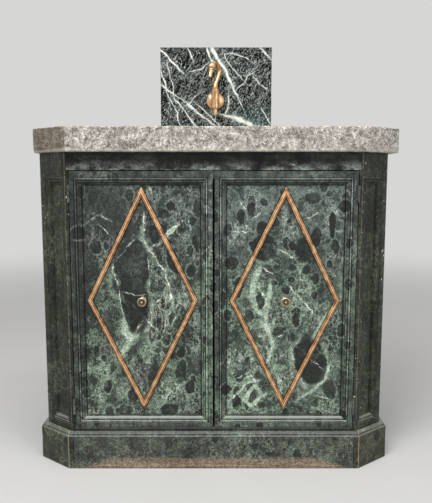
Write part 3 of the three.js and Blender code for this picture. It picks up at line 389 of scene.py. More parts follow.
def painted_marble(name, ground, pebbles, net, cloud, clouds=(), blots=(), deep=(), shade=(),
                   veins=(), streams=(), framed=False, extra=None, bare=inside_body,
                   lean=-18, firm=0.62, grit=1.0, dust_and_top_light=0.72):
    """One painted part. Pebbles, net and cloud are strengths, and the lists hold places."""
    finish = PaintedMarble(name, ground, net, lean, grit)
    finish.add_clouds(cloud, clouds)
    finish.add_pebbles(pebbles)
    if streams:
        finish.add_streams(streams)
    if shade:
        near = finish.ovals(finish.close, shade)
        finish.lay(finish.span(near, 1.2, 0.3, 0, 0.8), (46, 50, 48))
    if blots:
        finish.add_blots(blots, firm)
    if deep:
        near = finish.ovals(finish.close, deep)
        finish.lay(finish.span(near, 1.05, 0.8, 0, 0.85), (36, 38, 35))
    if veins:
        finish.add_veins(veins)
    if extra:
        extra(finish)
    finish.add_grit()
    if framed:
        moulding_painted_light_and_wear(finish)
        lozenge_painted_shadow(finish)
    finish.add_dust_and_painted_light(dust_and_top_light)
    finish.lay(bare(finish), bare_colour(finish))
    return finish.done(
        Roughness=finish.span(finish.noise(finish.place, 30, 4, 0.6), 0.3, 0.7, 0.36, 0.54),
        Specular_IOR_Level=0.22,
        Normal=finish.bump(finish.noise(finish.place, 420, 3, 0.6), 0.0002, 0.35),
    )


# Light across the moulding of a door: millimetres out from the opening, and the light there. Half
# leaves the paint as it is.
MOULDING_LIGHT = (
    (-8, 0.5), (-3, 0.44), (-0.8, 0.08), (1.0, 0.08), (2.0, 0.66), (4.4, 0.6), (5.6, 0.22), (7.0, 0.5),
    (10, 0.42), (11.2, 0.08), (12.4, 0.1), (13.6, 1.0), (15.2, 1.0), (16.6, 0.16), (18.2, 0.18),
    (19.4, 0.5), (22, 0.5),
)


def moulding_painted_light_and_wear(finish):
    """Painted shade in quirks and painted highlights on crests of a door's moulding, with rubbed wear."""
    half_x, half_z = OPENING_HALF
    across = finish.math("SUBTRACT", beside_door_middle(finish), half_x)
    along = finish.math("SUBTRACT", finish.gap(finish.z, OPENING_MIDDLE), half_z)
    out = finish.math("MAXIMUM", across, along)
    first, last = MOULDING_LIGHT[0][0], MOULDING_LIGHT[-1][0]
    stops = [((mm - first) / (last - first), (light, light, light, 1.0)) for mm, light in MOULDING_LIGHT]
    # Painted light and shade across the moulding, partly rubbed wear
    light = finish.ramp(finish.span(out, first, last, smooth=False), *stops)
    finish.tint(finish.vector("SCALE", light, scale=2.0))


def lozenge_painted_shadow(finish):
    """Painted shadow: dark lines along both sides of the lozenge's bar."""
    off_bar = finish.gap(lozenge_distance(finish), -BAR_HALF)
    side = finish.gap(off_bar, BAR_HALF)
    # Painted shadow beside the bar
    finish.lay(finish.span(side, 3.2, 1.0, 0, 0.75), (28, 28, 26))


def cant_wear(finish):
    """Streaks down the canted frames, and rubbed arrises with a few chips in the paint."""
    streaks = finish.noise(finish.stretch(finish.place, (70, 70, 3)), 1.3, 5, 0.65)
    finish.tint(finish.span(streaks, 0.35, 0.65, 0.8, 1.2, smooth=False))
    ragged = finish.product(finish.noise(finish.place, 60, 4, 0.7), 4)
    away = nearest_line(finish, CANT_ARRISES, ragged)
    finish.lay(finish.span(away, 3.4, 2.0, 0, 0.55), (132, 132, 116))
    near = finish.span(away, 20, 5, 0, 0.05)
    chance = finish.math("ADD", finish.noise(finish.place, 120, 2, 0.6), near)
    chipped = finish.math("GREATER_THAN", chance, 0.745)
    in_front = finish.math("LESS_THAN", finish.y, CHIPPED_UP_TO)
    finish.lay(finish.product(chipped, in_front, 0.9), (214, 210, 196))


def plinth_wear(finish):
    """A band of bare wood along the foot of the front board, rubbed arrises, and joints beside them."""
    off_middle = finish.gap(finish.x, BODY_MIDDLE)
    slope = finish.span(off_middle, 372, 250, -4, 27)
    wavy = finish.product(finish.noise(finish.stretch(finish.place, (9, 9, 30)), 1, 5, 0.6), 16)
    edge = finish.math("ADD", slope, finish.math("SUBTRACT", wavy, 8))
    grain = finish.noise(finish.stretch(finish.place, (5, 5, 150)), 1.3, 5, 0.65)
    streaks = finish.product(finish.math("SUBTRACT", grain, 0.5), 40)
    above = finish.math("ADD", finish.math("SUBTRACT", finish.z, edge), streaks)
    wood = finish.ramp(grain, (0.3, (98, 86, 73)), (0.5, (145, 127, 109)), (0.68, (174, 157, 137)))
    # Painted shade darkens the bare wood over its lowest 9 mm, by the floor
    wood = finish.mix(1.0, wood, finish.span(finish.z, 0, 9, 0.62, 1.0), "MULTIPLY")
    finish.lay(finish.span(above, 8, -6, 0, 0.88), wood)
    on_cant = finish.span(behind_cants(finish, BODY_MIDDLE, PLINTH_CANT_PLANE), 10, 4, 0, 0.75)
    finish.lay(on_cant, (206, 196, 170), "MULTIPLY")
    ragged = finish.product(finish.noise(finish.place, 45, 4, 0.7), 3)
    arris = nearest_line(finish, PLINTH_ARRISES, ragged)
    finish.lay(finish.span(arris, 3.4, 1.9, 0, 0.65), (176, 164, 136))
    joint = nearest_line(finish, PLINTH_JOINTS, ragged)
    finish.lay(finish.span(joint, 2.9, 2.0, 0, 0.8), (24, 24, 21))


def scratches(finish):
    """Fine slanting scratches beside the deep blot of the left door."""
    slant = finish.stretch(finish.warp(finish.place, (40, 0.004)), (110, 110, 16), 34)
    near = finish.span(finish.ovals(finish.place, [(-138, 398, 36, 78, 20)]), 1.2, 0.6)
    finish.lay(finish.product(finish.cracks(slant, 1, 3, 0.6, 0.026, 0.65), near), PALE_VEIN)


def frieze_smoke_and_shadow(finish):
    """Smoky diagonal strokes on the frieze, and painted shadow that darkens it under the slab."""
    slant = finish.stretch(finish.warp(finish.place, (14, 0.012)), (14, 14, 30), 32)
    smoke = finish.span(finish.noise(slant, 1, 5, 0.68), 0.46, 0.62, 0, 0.85)
    finish.lay(smoke, (130, 137, 130))
    # Painted shadow of the slab: dark at the top of the frieze, lighter towards its foot
    wavy = finish.product(finish.noise(finish.place, 11, 3, 0.5), 24)
    finish.tint(finish.span(finish.math("ADD", finish.z, wavy), 750, 802, 2.1, 0.1))


# The large shapes of the painting. Blots and clouds are ovals, veins and streams are strokes.


LEFT_BLOTS = [
    (-216, 512, 47, 80, 8), (-204, 425, 36, 76, -3), (-198, 557, 23, 33), (-149, 361, 19, 38, 28),
    (-90, 249, 14, 33, 5), (-279, 209, 10, 18), (-306, 302, 8, 15), (-343, 608, 17, 17),
    (-90, 302, 12, 15, 15), (-45, 666, 12, 20), (-122, 149, 25, 18), (-193, 279, 8, 9),
    (-170, 238, 10, 13), (-302, 572, 15, 18), (-130, 652, 15, 12), (-112, 672, 12, 12),
    (-108, 534, 15, 35, -20), (-67, 209, 13, 18), (-236, 147, 23, 13), (-331, 195, 13, 13),
    (-312, 222, 8, 10), (-267, 262, 8, 15), (-287, 286, 9, 10), (-155, 602, 13, 23, -15),
]
LEFT_DEEP = [(-203, 408, 34, 62, -3)]
LEFT_CLOUDS = [
    (-222, 338, 23, 23), (-233, 370, 11, 31), (-304, 227, 44, 77), (-119, 209, 34, 67),
    (-169, 307, 31, 31), (-81, 463, 16, 70), (-130, 169, 36, 18),
]
LEFT_SHADE = [(-275, 660, 95, 85), (-330, 520, 40, 160), (-222, 600, 60, 60)]
LEFT_VEINS = [
    (3, (-181, 665), (-180, 590), (-168, 567), (-151, 537), (-126, 504), (-119, 463), (-112, 429)),
    (2.4, (-168, 566), (-140, 585), (-118, 616), (-90, 630), (-70, 644)),
    (2, (-70, 644), (-65, 620), (-55, 607)), (1.5, (-171, 555), (-167, 465)),
    (1.6, (-203, 590), (-229, 568), (-259, 528), (-262, 510), (-245, 470), (-240, 418), (-230, 373),
     (-214, 340)),
    (1.0, (-237, 457), (-174, 451)),
    (3, (-166, 724), (-163, 704)), (1.4, (-183, 391), (-151, 357)), (1.4, (-142, 424), (-96, 445)),
    (1.6, (-130, 385), (-86, 437)), (1.2, (-168, 416), (-129, 445)), (1.2, (-112, 372), (-92, 411)),
    (1.6, (-212, 349), (-181, 385)), (1.2, (-317, 635), (-294, 650), (-269, 640)),
    (1.2, (-290, 625), (-265, 602)), (1.4, (-99, 437), (-76, 411)),
    (1.3, (-171, 147), (-137, 166), (-114, 195), (-88, 214)),
]
LEFT_STREAMS = [
    (7, (-228, 401), (-233, 355), (-218, 334)),
    (6, (-189, 379), (-200, 355), (-218, 334), (-237, 300), (-245, 274)),
    (4, (-187, 620), (-184, 589), (-174, 562), (-161, 567)), (5, (-128, 599), (-100, 625)),
]
RIGHT_BLOTS = [
    (120, 572, 33, 34), (222, 565, 26, 33), (250, 595, 13, 28, 10), (94, 577, 11, 11, 45),
    (176, 464, 11, 14), (113, 436, 11, 25), (241, 278, 42, 64, -10), (292, 202, 17, 26, -20),
    (160, 358, 17, 13), (203, 385, 10, 20), (191, 338, 10, 13), (88, 663, 12, 20),
    (62, 647, 10, 20), (-9, 652, 16, 16), (320, 675, 16, 16), (290, 627, 8, 37),
    (41, 532, 18, 18), (192, 519, 10, 10), (229, 515, 11, 14), (252, 490, 8, 15),
    (145, 481, 8, 8), (192, 491, 9, 9), (191, 577, 10, 13), (239, 695, 22, 15),
    (283, 704, 9, 9), (79, 267, 12, 23, 15), (97, 185, 10, 18, 30), (25, 203, 15, 15),
    (84, 396, 14, 18), (62, 238, 13, 18), (119, 160, 10, 8), (256, 163, 10, 10),
    (287, 529, 8, 10), (212, 450, 8, 8), (250, 447, 8, 8), (52, 171, 13, 16),
    (151, 519, 8, 10), (115, 620, 15, 17), (319, 359, 10, 20), (15, 437, 9, 25),
]
RIGHT_CLOUDS = [
    (106, 463, 18, 61), (132, 391, 18, 41), (117, 320, 26, 36), (81, 346, 20, 41),
    (229, 391, 25, 20), (62, 211, 44, 52), (36, 275, 18, 39), (165, 243, 31, 67),
    (274, 174, 39, 23), (180, 600, 33, 50), (60, 275, 50, 60), (95, 180, 60, 40),
    (60, 625, 42, 27), (212, 483, 45, 40),
]
RIGHT_VEINS = [
    (2.2, (184, 476), (220, 437), (251, 398)), (1.8, (111, 527), (141, 501)),
    (2, (57, 690), (77, 660), (82, 635), (114, 660)), (1.6, (219, 640), (256, 663)),
    (2, (153, 567), (181, 555), (201, 542)), (1.6, (35, 610), (85, 612)), (1, (231, 294), (272, 257)),
    (2, (76, 333), (107, 302), (128, 249)), (1.8, (49, 227), (87, 249), (103, 214), (119, 195)),
    (1.8, (31, 169), (62, 195), (77, 217)), (1.6, (253, 187), (295, 174)), (2, (176, 359), (138, 320)),
    (1.6, (103, 476), (127, 437), (117, 391)), (1.4, (214, 338), (194, 302), (206, 249), (232, 206)),
]
RIGHT_STREAMS = [
    (6, (108, 518), (94, 483), (96, 431), (111, 404), (127, 402), (132, 431)),
    (5, (137, 472), (127, 415), (125, 372), (137, 347), (145, 314)),
    (4, (145, 314), (136, 289), (131, 274)),
    (4, (72, 178), (101, 211), (121, 184), (92, 157), (72, 178)),
    (3, (52, 183), (77, 215), (106, 226)),
    (3, (218, 181), (253, 201), (279, 228), (291, 268)),
    (4, (247, 340), (275, 392)),
]
FRIEZE_VEINS = [
    (2.2, (166, 785), (198, 775), (231, 754)), (1.2, (198, 780), (213, 763)),
    (1.2, (-167, 744), (-152, 758)),
]

def split_blots(blots, door_x):
    """The blots that reach a door's panel, and those that reach its frame."""
    half_x, half_z = OPENING_HALF
    on_panel, on_frame = [], []
    for blot in blots:
        x, z, wide, high = blot[:4]
        across, along = abs(x - door_x), abs(z - OPENING_MIDDLE)
        if across < half_x + wide and along < half_z + high:
            on_panel.append(blot)
        if across > half_x - wide or along > half_z - high:
            on_frame.append(blot)
    return on_panel, on_frame


left_panel_blots, left_frame_blots = split_blots(LEFT_BLOTS, BODY_MIDDLE - DOOR_OFFSET)
right_panel_blots, right_frame_blots = split_blots(RIGHT_BLOTS, BODY_MIDDLE + DOOR_OFFSET)

paint = {
    "door_panel_left": painted_marble(
        "marbling_left_panel", ((34, 38, 36), (62, 69, 64), (100, 111, 102)), 0.22, 0.9, 0.4,
        LEFT_CLOUDS, left_panel_blots, LEFT_DEEP, LEFT_SHADE, LEFT_VEINS, LEFT_STREAMS,
        framed=True, extra=scratches, bare=behind(PANEL_BACK)),
    "door_frame_left": painted_marble(
        "marbling_left_frame", ((36, 40, 37), (62, 68, 62), (98, 107, 97)), 0.3, 0.35, 0.4,
        [(-20, 430, 30, 420)], left_frame_blots, shade=[(-350, 560, 18, 240)],
        framed=True, bare=behind(DOOR_BACK), grit=0.6),
    "door_panel_right": painted_marble(
        "marbling_right_panel", ((38, 43, 41), (75, 86, 79), (120, 135, 124)), 0.3, 1.0, 0.8,
        RIGHT_CLOUDS, right_panel_blots, veins=RIGHT_VEINS, streams=RIGHT_STREAMS,
        framed=True, bare=behind(PANEL_BACK), lean=0, firm=0.72),
    "door_frame_right": painted_marble(
        "marbling_right_frame", ((38, 42, 39), (66, 73, 67), (104, 114, 104)), 0.3, 0.4, 0.45,
        (), right_frame_blots, framed=True, bare=behind(DOOR_BACK), grit=0.6),
    "frieze": painted_marble(
        "marbling_frieze", ((14, 16, 15), (34, 38, 34), (88, 94, 88)), 0.1, 0.25, 0.35,
        veins=FRIEZE_VEINS, extra=frieze_smoke_and_shadow, grit=1.4),
    "cants": painted_marble(
        "marbling_cants", ((29, 31, 23), (49, 52, 40), (76, 79, 65)), 0.08, 0.1, 0.2,
        extra=cant_wear, grit=1.5, dust_and_top_light=0.4),
    "sides": painted_marble(
        "marbling_sides", ((28, 31, 27), (46, 51, 45), (72, 80, 71)), 0.22, 0.5, 0.5, grit=0.7),
    "floor": painted_marble(
        "painted_floor_edge", ((26, 28, 26), (44, 48, 44), (64, 68, 62)), 0.1, 0.1, 0.1,
        bare=behind(FLOOR_EDGE)),
    "plinth": painted_marble(
        "marbling_plinth", ((40, 43, 40), (70, 73, 67), (108, 112, 102)), 0.12, 0.35, 0.4,
        extra=plinth_wear, grit=1.3, dust_and_top_light=0.22),
}


# Stone, metal and wood


def stone_top_finish():
    """Grey stone with pale and dark cracks, painted shade on the left cant, and pale along its foot."""
    finish = Finish("mottled_grey_stone")
    broad = finish.warp(finish.place, (9, 0.02), (40, 0.008), (140, 0.003))
    finish.colour = finish.ramp(
        finish.noise(broad, 52, 8, 0.74, 0.5),
        (0.36, (92, 85, 79)), (0.46, (138, 131, 123)), (0.56, (172, 165, 157)),
        (0.66, (210, 204, 196)),
    )
    for scale, wide, strength in ((14, 0.011, 1.0), (27, 0.011, 0.85), (64, 0.02, 0.7)):
        finish.lay(finish.cracks(broad, scale, 5, 0.7, wide, strength), (232, 228, 220))
    finish.lay(finish.span(finish.noise(broad, 13, 5, 0.62), 0.62, 0.66, 0, 0.5), (112, 101, 89))
    finish.lay(finish.cracks(broad, 19, 6, 0.7, 0.01, 0.5, level=0.46), (82, 76, 72))
    grains = finish.noise(finish.place, 180, 4, 0.85)
    finish.tint(finish.span(grains, 0.38, 0.62, 0.44, 1.5, smooth=False))
    # Painted shade on the left cant
    on_cant = finish.span(behind_cants(finish, 0, SLAB_CANT_PLANE), 7, 4)
    on_left = finish.math("LESS_THAN", finish.x, 0)
    finish.lay(finish.product(on_cant, on_left), (176, 168, 158), "MULTIPLY")
    wavy = finish.product(finish.noise(broad, 12, 4), 20)
    foot = finish.span(finish.math("ADD", finish.z, wavy), 826, 820, 0, 0.4)
    finish.lay(foot, (206, 200, 184))
    return finish.done(Roughness=0.68, Specular_IOR_Level=0.3, Normal=finish.bump(grains, 0.0009, 0.6))


SPLASH_VEINS = [
    (2.2, (-173, 1142), (-150, 1119), (-109, 1077)), (1.4, (-88, 1144), (-73, 1109)),
    (2.6, (-24, 1144), (-11, 1114), (4, 1092)), (5.2, (-8, 1146), (11, 1111)),
    (3.8, (10, 1113), (28, 1077), (51, 1037)), (2.4, (51, 1037), (64, 1001)), (1.0, (64, 1001), (80, 968)),
    (1.0, (28, 1127), (33, 1107), (54, 1082), (80, 1057)), (2.5, (-169, 1032), (-143, 1016), (-125, 1004)),
    (1.2, (-125, 1004), (-94, 983)), (1.2, (-166, 1074), (-154, 1011), (-133, 966), (-110, 912)),
    (1.8, (-128, 991), (-102, 955), (-66, 912)), (3.4, (-87, 976), (-66, 955)),
    (2.4, (-66, 955), (-35, 930), (-6, 911)), (1.3, (-55, 971), (-19, 940), (10, 911)),
    (3.0, (18, 943), (54, 935)), (6.0, (54, 934), (91, 920), (112, 909)),
    (1.6, (38, 1006), (41, 971), (33, 945)),
    (1.0, (-29, 1097), (-60, 1079), (-78, 1074)), (1.0, (-60, 1001), (-76, 983), (-92, 968)),
    (1.1, (116, 1062), (142, 1037), (160, 1021)), (1.2, (142, 961), (156, 940), (166, 915)),
    (1.8, (141, 1142), (167, 1112)), (0.9, (59, 1021), (100, 1062), (121, 1072)),
    (1.0, (-150, 1102), (-140, 1057), (-128, 991)), (1.0, (33, 1127), (56, 1127), (100, 1107)),
]

def green_marble_finish():
    """Near-black green marble under pale flecks, fine threads and long white veins."""
    finish = Finish("splash_marble")
    close = finish.warp(finish.place, (14, 0.012), (60, 0.005), (190, 0.0024))
    finish.colour = finish.ramp(
        finish.noise(close, 24, 7, 0.8),
        (0.42, (6, 9, 9)), (0.56, (19, 24, 22)), (0.7, (50, 58, 54)),
    )
    to_right = finish.span(finish.x, 40, 110)
    to_foot = finish.span(finish.z, 985, 940)
    finish.lay(finish.product(to_right, to_foot, 0.4), (58, 92, 88))
    drift = finish.span(finish.noise(finish.place, 16, 3), 0.4, 0.6, 0.25, 1.0)
    for lean, scale, size, share in ((-36, 190, 0.34, 0.5), (20, 300, 0.36, 0.45), (-60, 420, 0.36, 0.5)):
        flecks = finish.cells(finish.stretch(close, (1, 1, 0.5), lean), scale)
        chosen = finish.math("LESS_THAN", finish.axes(flecks.outputs["Color"])[0], share)
        fleck = finish.span(flecks.outputs["Distance"], size, size * 0.55)
        finish.lay(finish.product(fleck, chosen, drift), (186, 194, 188))
    slant = finish.stretch(close, (1, 1, 1), -36)
    for scale, wide, strength in (((44, 44, 8), 0.012, 0.85), ((90, 90, 20), 0.014, 0.6)):
        threads = finish.cracks(finish.stretch(slant, scale), 1, 4, 0.6, wide, strength)
        finish.lay(threads, (196, 202, 196))
    reach = finish.ovals(close, strokes(*SPLASH_VEINS))
    haze = finish.span(finish.noise(close, 90, 4, 0.8), 0.46, 0.6, 0.05, 0.8)
    finish.lay(finish.product(finish.span(reach, 3.2, 1.0), haze), (160, 178, 168))
    finish.lay(finish.span(reach, 1.5, 0.5, 0, 0.95), (236, 238, 230))
    return finish.done(Roughness=0.16, Specular_IOR_Level=0.1)


def brass_finish(name, base, roughness):
    """Cast metal, tarnished in clouds, and darker in its hollows."""
    finish = Finish(name)
    red, green, blue, _ = linear(base)
    tarnished = (0.42 * red, 0.36 * green, 0.3 * blue, 1.0)
    cloud = finish.noise(finish.stretch(finish.place, (1, 1, 0.4)), 130, 4, 0.65)
    finish.colour = finish.mix(finish.span(cloud, 0.44, 0.66, 0, 0.8), base, tarnished)
    # Darker where ambient occlusion finds hollows
    hollow = finish.node("ShaderNodeAmbientOcclusion", {"Distance": 6 * MM}, samples=6).outputs["AO"]
    finish.lay(finish.span(hollow, 0.35, 0.85, 0.85, 0), tarnished)
    uneven = finish.noise(finish.place, 400, 4, 0.7)
    return finish.done(
        Metallic=1.0,
        Roughness=finish.span(uneven, 0.3, 0.7, roughness - 0.06, roughness + 0.1),
        Normal=finish.bump(finish.noise(finish.place, 700, 2), 0.00008, 0.4),
    )


def knob_finish():
    """Aged brass with painted highlights on the rim, ring and button, painted shade in the hollows."""
    finish = Finish("knob_brass")
    side = finish.math("SUBTRACT", finish.gap(finish.x, BODY_MIDDLE), KNOB_OFFSET)
    up = finish.math("SUBTRACT", finish.z, LOZENGE_MIDDLE)
    radius = finish.math("SQRT", finish.math("ADD", finish.product(side, side), finish.product(up, up)))
    # Painted highlights and painted shade in rings round the knob's axis
    finish.colour = finish.ramp(
        finish.span(radius, 0, 13, smooth=False),
        (0.0, (238, 226, 200)), (0.16, (214, 196, 164)), (0.28, (48, 42, 33)),
        (0.4, (70, 60, 46)), (0.48, (206, 188, 156)), (0.56, (66, 56, 43)),
        (0.68, (170, 150, 122)), (0.84, (226, 208, 176)), (0.96, (96, 82, 62)),
    )
    tarnish = finish.noise(finish.place, 240, 4, 0.7)
    finish.tint(finish.span(tarnish, 0.35, 0.65, 0.7, 1.1, smooth=False))
    return finish.done(Metallic=0.85, Roughness=finish.span(tarnish, 0.3, 0.7, 0.26, 0.44),
                       Normal=finish.bump(tarnish, 0.0001, 0.5))


def old_wood_finish():
    """Bare wood inside and behind, its grain running across."""
    finish = Finish("old_bare_wood")
    across = finish.stretch(finish.warp(finish.place, (8, 0.004)), (6, 90, 90))
    grain = finish.noise(across, 1.6, 6, 0.65, 0.6)
    finish.colour = finish.mix(finish.span(grain, 0.3, 0.72), (96, 74, 52), (142, 114, 84))
    finish.tint(finish.span(finish.noise(finish.place, 9, 4), 0.3, 0.7, 0.8, 1.12))
    return finish.done(Roughness=0.7, Normal=finish.bump(grain, 0.0005, 0.5))


def gilded_wood_finish():
    """Gilded wood, with a painted highlight on the crest of the bar and painted shade down its sides."""
    finish = Finish("gilded_wood")
    grain = finish.noise(finish.warp(finish.place, (40, 0.003)), 60, 6, 0.75)
    finish.colour = finish.ramp(
        grain, (0.36, (132, 84, 50)), (0.5, (200, 144, 94)), (0.62, (248, 206, 152)))
    off_crest = finish.gap(lozenge_distance(finish), -BAR_HALF)
    off_step = finish.gap(off_crest, 2.5)
    # Painted shade at the steps and down the sides of the bar, and a painted highlight on its crest
    finish.lay(finish.span(off_step, 0.9, 0.3, 0, 0.75), (96, 56, 30))
    finish.lay(finish.span(off_crest, 4.6, 5.6, 0, 0.75), (60, 42, 28))
    finish.lay(finish.span(off_crest, 1.8, 0.4, 0, 0.6), (250, 212, 168))
    return finish.done(Roughness=0.42, Specular_IOR_Level=0.4, Normal=finish.bump(grain, 0.0004, 0.5))


def painted_steel_finish():
    """Hinge steel under the same dark paint as the frames, worn through here and there."""
    finish = Finish("painted_steel")
    cloud = finish.noise(finish.place, 70, 5, 0.7)
    finish.colour = finish.ramp(
        cloud, (0.36, (40, 44, 40)), (0.52, (72, 77, 70)), (0.66, (112, 117, 108)))
    worn = finish.span(finish.noise(finish.place, 260, 4, 0.8), 0.56, 0.64, 0, 0.7)
    finish.lay(worn, (126, 112, 92))
    return finish.done(Roughness=finish.span(cloud, 0.3, 0.7, 0.24, 0.42), Specular_IOR_Level=0.7,
                       Normal=finish.bump(cloud, 0.0003, 0.5))


stone = stone_top_finish()
green_marble = green_marble_finish()
brass = brass_finish("golden_brass", (232, 188, 142), 0.3)
knob_brass = knob_finish()
old_wood = old_wood_finish()
gilded_wood = gilded_wood_finish()
zinc = brass_finish("zinc_plate", (178, 180, 182), 0.34)
painted_steel = painted_steel_finish()

# What a CAD node is dressed in, by the first start that its name has: slot, finish, and the ease of
# its arrises in millimetres, or None where the piece is modelled in another way
DRESS = {
    "lozenge": ("lozenge_wood", gilded_wood, None),
    "knob": ("aged_brass", knob_brass, None),
    "door_panel_left": ("marbled_panel", paint["door_panel_left"], 0.5),
    "door_panel_right": ("marbled_panel", paint["door_panel_right"], 0.5),
    "door_": ("marbled_frame", None, 0.5),
    "hinge": ("painted_hinge", painted_steel, 0.25),
    "frieze": ("marbled_frame", paint["frieze"], 0.7),
    "side_": ("marbled_frame", paint["sides"], 0.2),
    "cant_panel": ("marbled_panel", paint["cants"], 0.7),
    "cant_": ("marbled_frame", paint["cants"], 0.7),
    "plinth": ("marbled_frame", paint["plinth"], 0.7),
    "floor_board": ("bare_wood", paint["floor"], 0.7),
    "front_bearer": ("bare_wood", old_wood, 0.7),
    "back_panel": ("bare_wood", old_wood, 0.7),
    "stone_top": ("slab_stone", stone, None),
    "backsplash": ("green_marble", green_marble, 0.4),
    "catch_block": ("catch_steel", zinc, 0.4),
    "waste": ("brass", brass, 0.2),
    "tap_body": ("brass", brass, 0.4),
    "tap_backnut": ("brass", brass, 0.4),
    "tap_tail_nut": ("brass", brass, 0.3),
    "tap": ("brass", brass, None),
}


def side_of(node):
    return "left" if "left" in node else "right"


def body_of(node):
    if node in ("tap_spout", "tap_tail_nut"):
        return "spout"
    if node.startswith(("door_", "knob", "lozenge")) or "door_leaf" in node:
        return "door_" + side_of(node)
    return "cabinet"


def dress_of(node):
    start = next(start for start in DRESS if node.startswith(start))
    slot, finish, ease = DRESS[start]
    return slot, finish or paint["door_frame_" + side_of(node)], ease


for name, cad_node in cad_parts.items():
    cad_node.data.materials.clear()
    cad_node.data.materials.append(dress_of(name)[1])


# Pieces modelled in place of CAD nodes


def pick(piece):
    bpy.ops.object.select_all(action="DESELECT")
    piece.select_set(True)
    bpy.context.view_layer.objects.active = piece


def settle(piece):
    """Puts a piece's place, turn and size into its mesh."""
    pick(piece)
    bpy.ops.object.transform_apply(location=True, rotation=True, scale=True)


def close_edit():
    """Turns all faces outward and leaves edit mode."""
    bpy.ops.mesh.select_all(action="SELECT")
    bpy.ops.mesh.normals_make_consistent(inside=False)
    bpy.ops.object.mode_set(mode="OBJECT")


def merged_copy(node, name):
    """A copy of a CAD node's loose triangles, merged into whole faces."""
    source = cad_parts[node]
    mesh = source.data.copy()
    mesh.transform(source.matrix_world)
    piece = bpy.data.objects.new(name, mesh)
    bpy.context.scene.collection.objects.link(piece)
    pick(piece)
    if mesh.has_custom_normals:
        bpy.ops.mesh.customdata_custom_splitnormals_clear()
    bpy.ops.object.mode_set(mode="EDIT")
    bpy.ops.mesh.select_all(action="SELECT")
    bpy.ops.mesh.remove_doubles(threshold=0.002 * MM)
    bpy.ops.mesh.dissolve_limited(angle_limit=math.radians(0.4))
    close_edit()
    return piece


def apply(piece, kind, **settings):
    pick(piece)
    modifier = piece.modifiers.new(kind.lower(), kind)
    for key, value in settings.items():
        setattr(modifier, key, value)
    bpy.ops.object.modifier_apply(modifier=modifier.name)


def smooth(piece, angle):
    pick(piece)
    bpy.ops.object.shade_smooth_by_angle(angle=math.radians(angle))


def hand_over(piece, node):
    """Puts a finished piece on its body in place of the CAD node that it shows."""
    slot, finish, _ = dress_of(node)
    piece.data.materials.clear()
    piece.data.materials.append(finish)
    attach(piece, body_of(node))
    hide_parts(node)


def bridge_open_rims():
    """In edit mode, closes a shell between its two open rims."""
    bpy.ops.mesh.select_all(action="DESELECT")
    bpy.ops.mesh.select_non_manifold()
    bpy.ops.mesh.bridge_edge_loops()


def circle(name, sides, radius, height=0, fill="NGON"):
    """A new face or ring in edit mode, selected all over."""
    bpy.ops.object.select_all(action="DESELECT")
    bpy.ops.mesh.primitive_circle_add(vertices=sides, radius=radius, location=(0, 0, height), fill_type=fill)
    piece = bpy.context.object
    piece.name = name
    bpy.ops.object.mode_set(mode="EDIT")
    bpy.ops.mesh.select_all(action="SELECT")
    return piece


def turned(name, sides, rings, middle, facing, bored=False):
    """A turned piece: a ring that is extruded and resized, step by step. Rings are (radius, height)
    in millimetres, from the back to the front; facing is the way that height runs, Z or -Y. A bored
    piece is open in the middle, from its last ring down to its first."""
    radius, height = rings[0]
    piece = circle(name, sides, radius * MM, height * MM, "NOTHING" if bored else "NGON")
    for (radius_0, height_0), (radius_1, height_1) in zip(rings, rings[1:]):
        rise = (0, 0, (height_1 - height_0) * MM)
        growth = radius_1 / radius_0
        bpy.ops.mesh.extrude_region_move(TRANSFORM_OT_translate={"value": rise})
        bpy.ops.transform.resize(value=(growth, growth, 1), center_override=(0, 0, height_1 * MM))
    if bored:
        bridge_open_rims()
    close_edit()
    settle(piece)
    if facing == "-Y":
        piece.rotation_euler = (math.radians(90), 0, 0)
    piece.location = Vector(middle) * MM
    settle(piece)
    smooth(piece, 42)
    return piece


KNOB_RINGS = [
    (2.6, 204.3), (2.6, 216.9), (9.4, 217.25), (9.9, 217.9), (9.6, 218.9), (8.2, 219.7), (6.0, 220.6),
    (4.9, 222.4), (4.7, 226.0), (5.4, 229.2), (7.4, 231.4), (10.0, 233.2), (11.5, 235.2),
    (11.95, 237.2), (11.7, 239.1), (10.9, 240.5), (9.7, 241.2), (8.8, 240.9), (8.2, 239.8),
    (7.9, 238.5), (6.2, 238.3), (5.8, 239.3), (5.2, 240.7), (4.0, 241.7), (2.2, 242.1), (0.5, 242.2),
]

ROSETTE_RINGS = [
    (26.4, 0.05), (26.5, 0.8), (26.5, 1.6), (26.0, 2.4), (25.0, 2.9), (23.8, 2.7), (22.6, 2.9), (21.6, 3.7),
    (19.6, 4.6), (17.2, 5.2), (15.4, 5.6), (14.6, 6.5), (13.6, 7.2), (12.2, 7.45), (6.0, 7.5),
]

COLLAR_RINGS = [
    (7.75, 1013.35), (9.2, 1013.35), (9.65, 1013.7), (9.78, 1014.3), (9.65, 1014.8), (9.1, 1015.2),
    (8.6, 1015.7), (8.6, 1016.2), (9.1, 1016.7), (9.45, 1017.3), (9.4, 1018.0), (8.8, 1018.5),
    (8.6, 1019.0), (8.9, 1019.5), (8.7, 1020.1), (7.75, 1020.25),
]

EYE_RINGS = [
    (2.3, -1.2), (2.3, 0.1), (2.1, 0.45), (1.75, 0.5), (1.6, 0.2), (1.45, 0.45), (1.1, 0.85), (0.6, 1.1),
    (0.15, 1.15),
]

# Steps of the lozenge's bar from its outer edge inward: how far in, and how far up
BAR_STEPS = (
    (0.02, 1.6), (0.5, 1.7), (0.9, 1.4), (1.1, 0.3), (0.5, -0.6), (0.5, 0.8), (1.0, 1.6), (1.2, 0.8),
    (1.2, -0.8), (1.0, -1.6), (0.5, -0.8), (0.5, 0.6), (1.1, -0.3), (0.5, -1.4), (0.4, -1.7), (0.02, -1.6),
)
BAR_FOOT = -217.5


